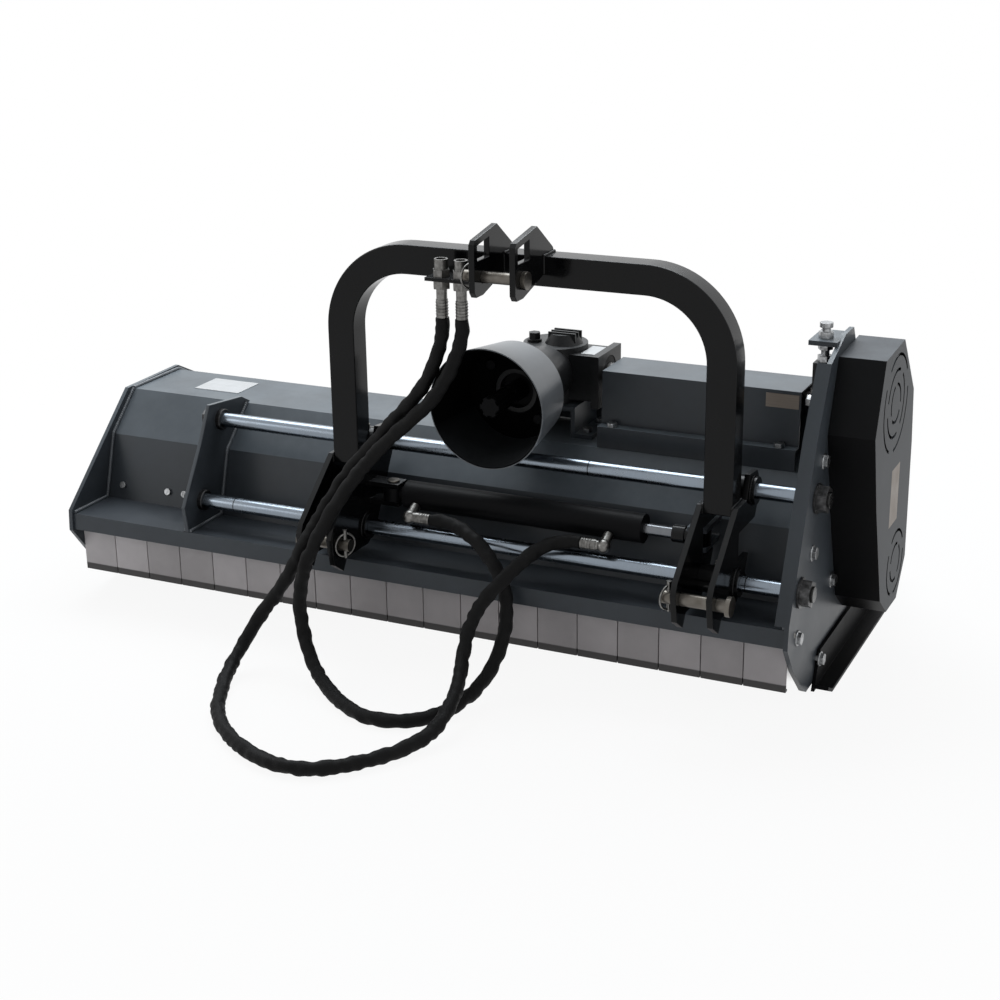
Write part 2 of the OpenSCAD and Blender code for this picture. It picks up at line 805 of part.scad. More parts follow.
// Hoses, each one tube swept along its route
hose_sides = 10;
route_mid = 222;
outer_route = [[96, -372, 622], [96, -372, 598], [92, -377, 574], [86, -383, 550], [76, -389, 524],
    [61, -394, 498], [40, -397, 472], [14, -400, 444], [-27, -404, 396], [-74, -414, 340], [-106, -445, 280],
    [-126, -482, 226], [-146, -490, 184], [-176, -493, 136], [-204, -503, 96], [-222, -526, 58], [-226, -566, 29],
    [-214, -614, 16], [-192, -661, 13], [-166, -709, 13], [-122, -761, 13], [-60, -806, 13], [7, -834, 13],
    [66, -834, 13], [111, -811, 13], [155, -763, 13], [184, -715, 14], [206, -663, 22], [211, -612, 40],
    [203, -558, 60], [188, -508, 86], [184, -474, 122], [198, -452, 162], [218, -430, 190], [240, -404, 216],
    [258, -381, 234], [276, -363.5, 245], [296, -351, 250.5], [314, elbow_at[0], elbow_at[1]],
    [332, elbow_at[0], elbow_at[1]]];
inner_route = [[132, -372, 622], [132, -372, 598], [128, -379, 573], [120, -388, 546], [108, -397, 519],
    [92, -405, 493], [70, -412, 468], [22, -425, 422], [-20, -432, 377], [-56, -446, 328], [-82, -474, 276],
    [-98, -506, 226], [-112, -509, 188], [-124, -506, 134], [-121, -508, 100], [-108, -517, 62], [-82, -537, 32],
    [-44, -567, 17], [6, -605, 13], [68, -636, 13], [123, -634, 13], [161, -610, 13], [184, -572, 14],
    [202, -526, 21], [214, -482, 38], [221, -446, 66], [224, -420, 104], [221, -405, 146], [211, -399, 180],
    [192, -393, 209], [165, -382, 232], [131, -366, 246], [102, -353, 251], [75, elbow_at[0], elbow_at[1]],
    [49, elbow_at[0], elbow_at[1]]];
function tangents(p) = [for (i = [0 : len(p) - 1])
    unit(p[min(i + 1, len(p) - 1)] - p[max(i - 1, 0)])];
function carried(t, n, i = 0, out = []) = i == len(t) ? out :
    let (m = unit(n - t[i] * (n * t[i]))) carried(t, m, i + 1, concat(out, [m]));
module hose_tube(route) {
    last = len(route) - 1;
    t = tangents(route);
    n = carried(t, [0, 1, 0]);
    points = [for (i = [0 : last]) for (j = [0 : hose_sides - 1])
        let (a = 360 * j / hose_sides)
        route[i] + hose_d / 2 * (cos(a) * n[i] + sin(a) * cross(t[i], n[i]))];
    function at(i, j) = i * hose_sides + j % hose_sides;
    sides = [for (i = [0 : last - 1]) for (j = [0 : hose_sides - 1]) for (k = [0, 1])
        k == 0 ? [at(i, j), at(i + 1, j), at(i + 1, j + 1)] : [at(i, j), at(i + 1, j + 1), at(i, j + 1)]];
    caps = concat([[for (j = [0 : hose_sides - 1]) at(0, j)]],
        [[for (j = [hose_sides - 1 : -1 : 0]) at(last, j)]]);
    translate([hitch_x - route_mid, 0, 0])
        polyhedron(points, concat(sides, caps));
}
module outer_hose() {
    placed() color(gloss_black) hose_tube(outer_route);
}
module inner_hose() {
    placed() color(gloss_black) hose_tube(inner_route);
}

// Input shaft guard, open to the front, on the gearbox's input flange
neck_len = 170;
guard_back = shaft_at[0] - neck_len;
guard_front = guard_back - guard_len;
input_flange_d = 150;
input_flange_t = 12;
guard_bolt_d = 10;
guard_bolt_r = 62;
bearing_d = 62;
guard_bolt_angles = [45 : 90 : 315];
module guard_bolt_places() {
    for (a = guard_bolt_angles)
        translate([pto_x + guard_bolt_r * cos(a), 0, shaft_z + guard_bolt_r * sin(a)])
            children();
}
guard_taper = (guard_d - guard_back_d) / guard_len;
// Tapered drum between two places on the input axis, smaller all round by inset
module guard_cone(y0, y1, inset) {
    translate([pto_x, y0, shaft_z])
        rotate([-90, 0, 0])
            cylinder(d1 = guard_d - 2 * inset - (y0 - guard_front) * guard_taper,
                d2 = guard_d - 2 * inset - (y1 - guard_front) * guard_taper, h = y1 - y0);
}
module shaft_guard() {
    placed() color(gloss_black)
        difference() {
            guard_cone(guard_front, guard_back, 0);
            guard_cone(guard_front - 1, guard_back - guard_t, guard_t);
            rod_y(pto_x, shaft_z, bearing_d + 16, guard_front, guard_back + 1);
            guard_bolt_places()
                rod_y(0, 0, guard_bolt_d + 2 * bolt_gap, guard_front, guard_back + 1);
        }
}
module guard_bolts() {
    face = guard_back - guard_t;
    placed() color(bright_steel)
        guard_bolt_places() {
            rod_y(0, 0, guard_bolt_d, face, guard_back + input_flange_t);
            rod_y(0, 0, guard_bolt_d * 1.7, face - 7, face);
        }
}

// Right angle gearbox
case_r = 58;
case_low = shaft_z - 54;
case_top = shaft_z + 38;
cavity_r = 49;
output_len = 90;
output_flange_t = 14;
output_half = 40;
output_top = shaft_z + 36;
output_flange_half = 54;
output_flange_up = 40;
neck_d1 = 136;
neck_d2 = 88;
gear_ratio = 2.5;
pitch_r = 34;
pitch_dist = pitch_r / gear_ratio;
pinion_shaft_d = 14;
module gearbox_case() {
    sy = shaft_at[0];
    placed() color(gloss_black)
        difference() {
            union() {
                rod_z(pto_x, sy, 2 * case_r, case_low, case_top);
                block(pto_x, pto_x + output_len, sy - output_half, sy + output_half, shaft_z - 46, output_top);
                block(pto_x + output_len, pto_x + output_len + output_flange_t, sy - output_flange_half,
                    sy + output_flange_half, shaft_z - output_flange_half, shaft_z + output_flange_up);
                translate([pto_x, guard_back, shaft_z])
                    rotate([-90, 0, 0])
                        cylinder(d1 = neck_d1, d2 = neck_d2, h = neck_len);
                rod_y(pto_x, shaft_z, input_flange_d, guard_back, guard_back + input_flange_t);
            }
            rod_z(pto_x, sy, 2 * cavity_r, shaft_z - 38, case_top + 1);
            rod_z(pto_x, sy, 2 * (case_r + bolt_gap), case_top, case_top + 2 * cover_disc_h);
            rod_x(shaft_at, bearing_d, pto_x, pto_x + output_len + output_flange_t + 1);
            rod_y(pto_x, shaft_z, bearing_d, guard_back - 1, sy);
            guard_bolt_places()
                rod_y(0, 0, guard_bolt_d + 2 * bolt_gap, guard_back - 1, guard_back + input_flange_t + 1);
        }
}
cover_disc_h = 8;
cap_d1 = 68;
cap_d2 = 48;
cap_h = 18;
module gearbox_cover() {
    sy = shaft_at[0];
    placed() color(gloss_black) {
        rod_z(pto_x, sy, 2 * case_r, case_top, case_top + cover_disc_h);
        translate([pto_x + 16, sy, case_top + cover_disc_h])
            cylinder(d1 = cap_d1, d2 = cap_d2, h = cap_h);
        for (i = [-1 : 1])
            block(pto_x - 8, pto_x + 44, sy + 14 * i - 2, sy + 14 * i + 2,
                case_top + cover_disc_h, case_top + cover_disc_h + cap_h + 3);
    }
}
module filler_plug() {
    at = [pto_x - 36, shaft_at[0] - 12];
    base = case_top + cover_disc_h;
    placed() color(gloss_black) {
        rod_z(at[0], at[1], 26, base, base + 5);
        hex_z(at[0], at[1], 19, base + 5, base + 17);
    }
}
stand_t = 8;
stand_half = 62;
stand_foot = 32;
stand_y0 = deck_front[0] + 35;
stand_y1 = deck_rear[0] - 9;
stand_foot_xs = [pto_x - stand_half - stand_foot / 2, pto_x + stand_half + stand_foot / 2];
module gearbox_stand() {
    placed() color(housing_grey)
        difference() {
            union() {
                block(pto_x - stand_half, pto_x + stand_half, stand_y0, stand_y1, case_low - stand_t, case_low);
                for (side = [-1, 1]) {
                    x = pto_x + side * stand_half;
                    inner = x - side * stand_t;
                    outer = x + side * stand_foot;
                    block(min(x, inner), max(x, inner), stand_y0, stand_y1, deck_z, case_low - stand_t);
                    block(min(x, outer), max(x, outer), stand_y0, stand_y1, deck_z, deck_z + stand_t);
                }
            }
            deck_bolt_places()
                translate([0, 0, -40])
                    cylinder(d = deck_bolt_d + 2 * bolt_gap, h = 60);
        }
}
module bearing_ring_y(y0) {
    difference() {
        rod_y(pto_x, shaft_z, bearing_d - 2 * seat_gap, y0, y0 + 20);
        rod_y(pto_x, shaft_z, shaft_d + 2 * run_gap, y0 - 1, y0 + 21);
    }
}
module gearbox_bearings() {
    placed() color(bright_steel) {
        bearing_ring_y(guard_back + 14);
        bearing_ring_y(shaft_at[0] - cavity_r - 24);
        ring_x(shaft_at, bearing_d - 2 * seat_gap, shaft_d + 2 * run_gap,
            pto_x + output_len - 18, pto_x + output_len + 4);
    }
}
spline_len = 76;
spline_depth = 3;
module input_shaft() {
    tip = guard_front + 14;
    placed() color(bright_steel)
        difference() {
            rod_y(pto_x, shaft_z, shaft_d, tip, shaft_at[0] - pitch_dist);
            for (a = [0 : 60 : 300])
                translate([pto_x, tip - 1, shaft_z])
                    rotate([0, a, 0])
                        translate([-4, 0, shaft_d / 2 - spline_depth])
                            cube([8, spline_len, shaft_d]);
        }
}
module bevel_gear() {
    gear_back = 20;
    placed() color(dull_steel)
        difference() {
            union() {
                translate([pto_x, shaft_at[0] - pitch_dist, shaft_z])
                    rotate([-90, 0, 0])
                        cylinder(r1 = pitch_r - mesh_gap, r2 = pitch_r * 2 / 3, h = pitch_dist / 3);
                rod_y(pto_x, shaft_z, 2 * pitch_r * 0.6, shaft_at[0] - pitch_dist - gear_back,
                    shaft_at[0] - pitch_dist);
            }
            rod_y(pto_x, shaft_z, shaft_d + 2 * seat_gap, shaft_at[0] - 2 * pitch_r, shaft_at[0]);
        }
}
module bevel_pinion() {
    big = pitch_dist - mesh_gap;
    placed() color(dull_steel)
        difference() {
            union() {
                translate([pto_x + pitch_r * 2 / 3, shaft_at[0], shaft_at[1]])
                    rotate([0, 90, 0])
                        cylinder(r1 = pitch_dist * 2 / 3 - mesh_gap, r2 = big, h = pitch_r / 3);
                rod_x(shaft_at, 2 * big, pto_x + pitch_r, pto_x + pitch_r + 12);
            }
            rod_x(shaft_at, pinion_shaft_d + 2 * seat_gap, pto_x, pto_x + 2 * pitch_r);
        }
}

// Cross shaft, its box on the deck and its bearing carrier
pulley_x0 = plate_out + 11;
groove_pitch = belt_w + 4;
pulley_w = belt_count * groove_pitch + 4;
pulley_x1 = pulley_x0 + pulley_w;
box_gap = 14;
box_x0 = pto_x + output_len + output_flange_t + box_gap;
carrier_len = 44;
carrier_d = 100;
box_x1 = half_w - carrier_len - 12;
box_front = shaft_at[0] - 70;
box_back = shaft_at[0] + 30;
box_top = shaft_z + 22;
box_lean = 4;
foot_w = 20;
plinth_h = 38;
box_bolt_xs = [box_x0 + 24, box_x1 - 30];
module drive_shaft() {
    step = pto_x + pitch_r + 13;
    placed() color(bright_steel) {
        rod_x(shaft_at, pinion_shaft_d, pto_x + pitch_r * 2 / 3, step);
        rod_x(shaft_at, shaft_d, step, pulley_x1 + 2);
    }
}
module shaft_box() {
    z = deck_z + box_t;
    plinth = box_front - box_lean - foot_w;
    path = [[plinth, deck_z], [plinth, deck_z + plinth_h], [box_front - box_lean, deck_z + plinth_h],
        [box_front, shaft_z - 10], [box_front, box_top], [box_back, box_top], [box_back, z],
        [box_back + foot_w, z]];
    placed() color(housing_grey)
        difference() {
            slab(box_x0, box_x1)
                bent_sheet(path, box_t);
            deck_bolt_places()
                translate([0, 0, -40])
                    cylinder(d = deck_bolt_d + 2 * bolt_gap, h = 60);
            ledge_bolt_places()
                translate([0, 0, -10])
                    cylinder(d = deck_bolt_d + 2 * bolt_gap, h = 20);
        }
}
ear_z0 = shaft_z + 30;
ear_z1 = shaft_z + 76;
module shaft_carrier() {
    x0 = half_w - carrier_len;
    placed() color(gloss_black)
        difference() {
            union() {
                rod_x(shaft_at, carrier_d, x0, half_w);
                block(x0 + 6, half_w - 6, tension_at[1] - 15, shaft_at[0], ear_z0, ear_z0 + 16);
                block(x0 + 6, half_w - 6, tension_at[1] - 15, tension_at[1] + 15, ear_z0, ear_z1);
            }
            rod_x(shaft_at, shaft_d + 2 * run_gap, x0 - 1, half_w + 1);
            plate_holes(carrier_bolts, x0 - 1, half_w + 1);
            rod_z(tension_at[0], tension_at[1], tension_bolt_d + 2 * bolt_gap, ear_z0 - 1, ear_z1 + 1);
        }
}
module tension_bolt() {
    wide = 22;
    x = tension_at[0];
    y = tension_at[1];
    placed() color(bright_steel) {
        rod_z(x, y, tension_bolt_d, ear_z0 + 4, tab_z + 26);
        hex_z(x, y, wide, tab_z, tab_z + 11);
        hex_z(x, y, wide, tab_z - tab_t - 11, tab_z - tab_t);
        hex_z(x, y, wide, ear_z1, ear_z1 + 11);
        rod_z(x, y, wide, tab_z + 18, tab_z + 26);
    }
}

// Belt drive
belt_arc_steps = 30;
function arc_points(at, r, from, to) = [for (i = [0 : belt_arc_steps])
    let (a = from + (to - from) * i / belt_arc_steps) at + r * [cos(a), sin(a)]];
module belt_loop(grow) {
    r1 = drive_pulley_d / 2 + grow;
    r2 = rotor_pulley_d / 2 + grow;
    span = rotor_at - shaft_at;
    lean = acos((r1 - r2) / norm(span));
    along = atan2(span[1], span[0]);
    polygon(concat(arc_points(shaft_at, r1, along + lean, along + 360 - lean),
        arc_points(rotor_at, r2, along - lean, along + lean)));
}
module grooved_pulley(at, d, bore) {
    difference() {
        ring_x(at, d, bore + 2 * seat_gap, pulley_x0, pulley_x1);
        for (i = [0 : belt_count - 1])
            ring_x(at, d + 2, d - 2 * (belt_t - 1) - 2 * belt_gap, pulley_x0 + 4 + i * groove_pitch - belt_gap,
                pulley_x0 + 4 + i * groove_pitch + belt_w + belt_gap);
    }
}
module drive_pulley() {
    placed() color(dull_steel) grooved_pulley(shaft_at, drive_pulley_d, shaft_d);
}
module rotor_pulley() {
    placed() color(dull_steel) grooved_pulley(rotor_at, rotor_pulley_d, stub_d);
}
module drive_belts() {
    placed() color(gloss_black)
        for (i = [0 : belt_count - 1]) {
            x = pulley_x0 + 4 + i * groove_pitch;
            slab(x, x + belt_w)
                difference() {
                    belt_loop(1);
                    belt_loop(1 - belt_t);
                }
        }
}
cover_outline = [[-157, shaft_z + 94], [-30, shaft_z + 100], [64, shaft_z - 10], [76, 362], [82, 146], [29, 83],
    [-46, 85], [-99, 125], [-167, 311], [-205, shaft_z - 25]];
vent_slot = 5;
vent_arc = 96;
label_w = 58;
label_h = 104;
label_t = 1;
label_at = [-37, 298];
module vent(at, radii) {
    translate([cover_x - cover_t - 1, at[0], at[1]])
        rotate([0, 90, 0])
            for (i = [0 : len(radii) - 1])
                for (k = [0 : 2])
                    rotate([0, 0, 120 * k + 40 * i])
                        rotate_extrude(angle = vent_arc)
                            translate([radii[i] - vent_slot, 0])
                                square([vent_slot, cover_t + 2]);
}
module belt_cover() {
    placed() color(housing_grey)
        difference() {
            slab(plate_out, cover_x)
                polygon(cover_outline);
            slab(plate_out - 1, cover_x - cover_t)
                polygon(ring_shifted(cover_outline, -cover_t));
            vent(shaft_at, [85, 60, 35]);
            vent(rotor_at, [60, 36]);
            block(cover_x - label_t, cover_x + 1, label_at[0] - label_w / 2, label_at[0] + label_w / 2,
                label_at[1] - label_h / 2, label_at[1] + label_h / 2);
        }
}

// Rotor with two rows of swinging hammers
rotor_half = half_w - 46;
ear_t = 8;
ear_gap = 0.5;
ear_d = 32;
hammer_t = 14;
row_span = inner_w - 190;
row_pitch = row_span / hammer_count;
left_bearing_t = 24;
left_cap_t = 6;
right_bearing_t = 30;
bearing_out_d = 126;
function hammer_xs(row) = [for (i = [0 : hammer_count - 1]) -row_span / 2 + (i + 0.25 + 0.5 * row) * row_pitch];
function pivot(row) = rotor_at + [(2 * row - 1) * hammer_r, 0];
module rotor() {
    ear_out = hammer_w / 2 + ear_gap;
    placed() color(gloss_black)
        difference() {
            union() {
                ring_x(rotor_at, rotor_d, rotor_d - 2 * rotor_t, -rotor_half, rotor_half);
                for (side = [-1, 1])
                    rod_x(rotor_at, rotor_d - rotor_t, min(side * (rotor_half - 12), side * rotor_half),
                        max(side * (rotor_half - 12), side * rotor_half));
                rod_x(rotor_at, stub_d, -plate_out - left_bearing_t + 4, -rotor_half);
                rod_x(rotor_at, stub_d, rotor_half, pulley_x1 + 2);
                for (row = [0, 1])
                    for (x = hammer_xs(row))
                        for (side = [-1, 1]) {
                            x0 = min(x + side * ear_out, x + side * (ear_out + ear_t));
                            rod_x(pivot(row), ear_d, x0, x0 + ear_t);
                            y0 = (2 * row - 1) * (rotor_d / 2 - rotor_t / 2);
                            y1 = (2 * row - 1) * hammer_r;
                            block(x0, x0 + ear_t, min(y0, y1), max(y0, y1), rotor_z - ear_d / 2, rotor_z + ear_d / 2);
                        }
            }
            for (row = [0, 1])
                for (x = hammer_xs(row))
                    rod_x(pivot(row), hammer_bolt_d + 2 * seat_gap, x - ear_out - ear_t - 1, x + ear_out + ear_t + 1);
        }
}
module hammer_bolts() {
    reach = hammer_w / 2 + ear_gap + ear_t;
    placed() color(dull_steel)
        for (row = [0, 1])
            for (x = hammer_xs(row)) {
                rod_x(pivot(row), hammer_bolt_d, x - reach - 4, x + reach + 4);
                hex_x(pivot(row), 22, x - reach - 8, x - reach);
                hex_x(pivot(row), 22, x + reach, x + reach + 9);
            }
}
module hammer_row(row) {
    for (x = hammer_xs(row))
        difference() {
            union() {
                rod_x(pivot(row), ear_d - 4, x - hammer_w / 2, x + hammer_w / 2);
                block(x - hammer_w / 2, x + hammer_w / 2, pivot(row)[0] - hammer_t / 2, pivot(row)[0] + hammer_t / 2,
                    rotor_z - hammer_len, rotor_z);
            }
            rod_x(pivot(row), hammer_bolt_d + 2 * seat_gap, x - hammer_w, x + hammer_w);
        }
}
module front_hammers() {
    placed() color(dull_steel) hammer_row(0);
}
module rear_hammers() {
    placed() color(dull_steel) hammer_row(1);
}
module rotor_bearings() {
    placed() color(gloss_black)
        difference() {
            union() {
                rod_x(rotor_at, bearing_out_d, -plate_out - left_bearing_t, -plate_out);
                rod_x(rotor_at, bearing_out_d - 50, -plate_out - left_bearing_t - left_cap_t, -plate_out - left_bearing_t);
                rod_x(rotor_at, bearing_out_d, half_w - right_bearing_t, half_w);
            }
            rod_x(rotor_at, stub_d + 2 * run_gap, -plate_out - left_bearing_t + 2, -plate_out + 1);
            rod_x(rotor_at, stub_d + 2 * run_gap, half_w - right_bearing_t - 1, half_w + 1);
            plate_holes(bearing_bolts, -plate_out - left_bearing_t - 1, -plate_out + 1);
            plate_holes(bearing_bolts, half_w - right_bearing_t - 1, half_w + 1);
        }
}

// Skids
skid_front = -232;
skid_rear = 232;
module skid() {
    placed() color(gloss_black)
        difference() {
            union() {
                slab(plate_out, plate_out + skid_t)
                    polygon([[skid_front, 0], [skid_front + 30, skid_h], [skid_rear - 12, skid_h],
                        [skid_rear, skid_h - 12], [skid_rear, 0]]);
                slab(plate_out + skid_t, plate_out + skid_w)
                    bent_sheet([[skid_front - 14, 20], [skid_front + 14, skid_t], [skid_rear, skid_t]], skid_t);
            }
            plate_holes(skid_bolts, plate_out - 1, plate_out + skid_t + 1);
        }
}
module right_skid() {
    skid();
}
module left_skid() {
    translate([-2 * mid_x, 0, 0])
        mirror([1, 0, 0])
            skid();
}

// Fasteners of the end plates
module plate_bolt(p, side, head_x, grip, nut) {
    far = head_x - grip;
    reach = nut ? far - nut_h - 2 : far;
    mirror([side < 0 ? 1 : 0, 0, 0]) {
        rod_x(p, plate_bolt_d, reach, head_x);
        hex_x(p, bolt_head_w, head_x, head_x + bolt_head_h);
        if (nut)
            hex_x(p, bolt_head_w, far - nut_h, far);
    }
}
module plate_bolts() {
    placed() color(bright_steel) {
        for (side = [-1, 1]) {
            for (p = skid_bolts)
                plate_bolt(p, side, plate_out + skid_t, plate_t + skid_t, true);
            for (p = bracket_bolts)
                plate_bolt(p, side, plate_out, plate_t + bracket_t, true);
        }
        for (p = bearing_bolts) {
            plate_bolt(p, -1, plate_out + left_bearing_t, plate_t + left_bearing_t, true);
            plate_bolt(p, 1, plate_out, plate_t + right_bearing_t, true);
        }
        for (p = carrier_bolts)
            plate_bolt(p, 1, plate_out, plate_t + carrier_len, true);
        for (p = trim_bolts)
            plate_bolt(p, 1, plate_out, plate_t, false);
    }
}
module deck_bolt() {
    translate([0, 0, -14 - hood_t])
        cylinder(d = deck_bolt_d, h = 14 + hood_t);
    cylinder(d = 17 / cos(30), h = 7, $fn = 6);
}
module deck_bolts() {
    placed() color(bright_steel) {
        deck_bolt_places()
            deck_bolt();
        ledge_bolt_places()
            deck_bolt();
        for (x = wall_bolt_xs)
            on_wall(x) {
                translate([0, 0, -hood_t])
                    cylinder(d = wall_bolt_d, h = hood_t);
                cylinder(d = 13, h = 5);
            }
    }
}
module blank_plates() {
    sy = shaft_at[0];
    placed() color(plate_grey) {
        block(pto_x + case_r + 2, pto_x + output_len - 2, sy - 28, sy + 28, output_top, output_top + 1);
        block(-half_w + 113, -half_w + 213, deck_rear[0] - 106, deck_rear[0] - 31, deck_z, deck_z + 1);
        block(cover_x - label_t, cover_x, label_at[0] - label_w / 2, label_at[0] + label_w / 2,
            label_at[1] - label_h / 2, label_at[1] + label_h / 2);
    }
}

// Rear roller in its brackets
bracket_t = 8;
axle_d = 24;
roller_gap = 6;
roller_wall = 4;
module roller_brackets() {
    front = bracket_bolts[0] + [-20, 0];
    edge = [front + [0, -18], front + [0, 14], [roller_back - 45, front[1] + 14], roller_at + [16, 22], roller_at + [24, 0],
        roller_at + [14, -20], roller_at + [-14, -22]];
    placed() color(housing_grey)
        for (x = [-half_w, half_w - bracket_t])
            difference() {
                slab(x, x + bracket_t)
                    polygon(edge);
                rod_x(roller_at, axle_d + 2 * run_gap, x - 1, x + bracket_t + 1);
                plate_holes(bracket_bolts, x - 1, x + bracket_t + 1);
            }
}
module rear_roller() {
    half = half_w - bracket_t - roller_gap;
    placed() color(gloss_black) {
        ring_x(roller_at, roller_d, roller_d - 2 * roller_wall, -half, half);
        for (side = [-1, 1]) {
            rod_x(roller_at, roller_d - roller_wall, min(side * half, side * (half - 10)),
                max(side * half, side * (half - 10)));
            rod_x(roller_at, axle_d, min(side * half, side * half_w), max(side * half, side * half_w));
        }
    }
}

hood();
left_end_plate();
right_end_plate();
gusset();
upper_bar();
lower_bar();
bar_nuts();
flap_rod();
front_flaps();
hitch_arch();
left_bracket();
right_bracket();
slide_sleeves();
grease_nipples();
top_link_lugs();
top_pin();
lower_pins();
linch_pins();
ram_barrel();
ram_rod();
rod_eye();
rod_lug();
base_pin();
rod_pin();
port_elbows();
hose_ferrules();
bulkhead_bracket();
bulkhead_fittings();
outer_hose();
inner_hose();
shaft_guard();
guard_bolts();
gearbox_case();
gearbox_cover();
filler_plug();
gearbox_stand();
gearbox_bearings();
input_shaft();
bevel_gear();
bevel_pinion();
drive_shaft();
shaft_box();
shaft_carrier();
tension_bolt();
drive_pulley();
rotor_pulley();
drive_belts();
belt_cover();
rotor();
hammer_bolts();
front_hammers();
rear_hammers();
rotor_bearings();
left_skid();
right_skid();
plate_bolts();
deck_bolts();
blank_plates();
rear_roller();
roller_brackets();
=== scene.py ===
# %% [markdown]
# # A flail mower with a hydraulic side shift
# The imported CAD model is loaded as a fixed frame, in metres: X along the rotor towards the belt side, -Y
# towards the tractor and Z up. Every later cell adds a finish or a piece where the CAD says it belongs.

# %% Load the frame
import math
import bpy
import numpy as np
from mathutils import Matrix, Vector


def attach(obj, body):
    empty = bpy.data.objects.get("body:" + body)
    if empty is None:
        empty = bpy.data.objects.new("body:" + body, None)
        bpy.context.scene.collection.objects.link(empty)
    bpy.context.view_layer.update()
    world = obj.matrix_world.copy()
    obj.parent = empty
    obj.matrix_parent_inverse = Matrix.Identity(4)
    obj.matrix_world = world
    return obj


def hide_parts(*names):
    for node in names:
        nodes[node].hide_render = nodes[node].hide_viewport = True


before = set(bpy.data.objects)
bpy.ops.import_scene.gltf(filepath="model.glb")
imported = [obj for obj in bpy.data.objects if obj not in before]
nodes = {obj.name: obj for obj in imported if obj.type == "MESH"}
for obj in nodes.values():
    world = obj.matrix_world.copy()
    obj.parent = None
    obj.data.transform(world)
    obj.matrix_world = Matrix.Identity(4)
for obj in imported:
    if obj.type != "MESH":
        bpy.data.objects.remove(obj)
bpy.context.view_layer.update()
scene = bpy.context.scene

# %% [markdown]
# ## Camera
# The photograph was taken from the front right, a little above the arch. A camera was solved from corners
# of the machine, so its place, its turn and its lens are numbers here, and the picture lines up with no
# shift.

# %% Camera
camera_place = Vector((1.3743, -2.8523, 1.3181))
camera_azimuth, camera_elevation, camera_roll = (math.radians(a) for a in (25.3, 19.6, -0.8))
camera_lens = 64.1
sensor_width = 36.0


def camera_matrix(place, azimuth, elevation, roll):
    back = Vector((math.sin(azimuth) * math.cos(elevation), -math.cos(azimuth) * math.cos(elevation),
                   math.sin(elevation)))
    right = Vector((math.cos(azimuth), math.sin(azimuth), 0.0))
    up = back.cross(right)
    rolled_right = right * math.cos(roll) + up * math.sin(roll)
    rolled_up = up * math.cos(roll) - right * math.sin(roll)
    turn = Matrix((rolled_right, rolled_up, back)).transposed().to_4x4()
    return Matrix.Translation(place) @ turn


camera_data = bpy.data.cameras.new("camera")
camera_data.lens = camera_lens
camera_data.sensor_width = sensor_width
camera = bpy.data.objects.new("camera", camera_data)
scene.collection.objects.link(camera)
camera.matrix_world = camera_matrix(camera_place, camera_azimuth, camera_elevation, camera_roll)
scene.camera = camera
print("camera at", tuple(camera_place))

# %% [markdown]
# ## World
# The world gives a weak even fill, and shows as plain white where the camera, a reflection or glass looks
# at it. Small helpers add a node with its inputs, do one sum and stretch a value, so that trees stay
# readable.

# %% World
scene.view_settings.view_transform = "Standard"
fill_light = 0.25
fill_tint = (0.93, 0.96, 1.0, 1.0)
white_tint = (1.0, 1.0, 1.0, 1.0)


def put(tree, kind, links=None, **settings):
    """Adds a node, sets its properties, then links or sets its inputs by name or number."""
    node = tree.nodes.new(kind)
    for key, value in settings.items():
        setattr(node, key, value)
    for key, value in (links or {}).items():
        socket = node.inputs[key]
        if isinstance(value, bpy.types.NodeSocket):
            tree.links.new(value, socket)
        else:
            socket.default_value = value
    return node


def math_node(tree, operation, *values):
    return put(tree, "ShaderNodeMath", dict(enumerate(values)), operation=operation).outputs[0]


def spread(tree, value, low, high, to_low=0.0, to_high=1.0):
    """Stretches a value between two limits."""
    return put(tree, "ShaderNodeMapRange", {"Value": value, "From Min": low, "From Max": high,
                                            "To Min": to_low, "To Max": to_high}).outputs["Result"]


def parts(tree, vector):
    """X, Y and Z of a vector."""
    return put(tree, "ShaderNodeSeparateXYZ", {0: vector}).outputs


def seen_white(tree):
    """Share of rays that look at the background: straight from the camera, mirrored or through glass."""
    path = put(tree, "ShaderNodeLightPath").outputs
    mirrored = math_node(tree, "MAXIMUM", path["Is Glossy Ray"], path["Is Transmission Ray"])
    return math_node(tree, "MAXIMUM", path["Is Camera Ray"], mirrored)


world = bpy.data.worlds.new("studio")
world.use_nodes = True
sky = world.node_tree
sky.nodes.clear()
dim = put(sky, "ShaderNodeBackground", {"Color": fill_tint, "Strength": fill_light})
white = put(sky, "ShaderNodeBackground", {"Color": white_tint, "Strength": 1.0})
choose = put(sky, "ShaderNodeMixShader", {0: seen_white(sky), 1: dim.outputs[0], 2: white.outputs[0]})
put(sky, "ShaderNodeOutputWorld", {"Surface": choose.outputs[0]})
scene.world = world
print("fill light:", fill_light)

# %% [markdown]
# ## Floor
# The machine stands on a large pale floor. Its glow is a little weaker near the machine, so that the
# shadow stays, and weak under the housing, where hardly any light reaches a real floor.

# %% Floor
near_reach, near_glow = 0.9, 0.92
far_reach, far_glow = 2.2, 1.0
shade_glow = 0.1
shade_half_x, shade_front, shade_back = 0.6, -0.15, 0.2
fade_x, fade_y = 0.08, 0.07
floor_half = 14.0
floor_tint = (0.86, 0.86, 0.86, 1.0)


def shader(name):
    material = bpy.data.materials.new(name)
    material.use_nodes = True
    tree = material.node_tree
    tree.nodes.clear()
    return material, tree


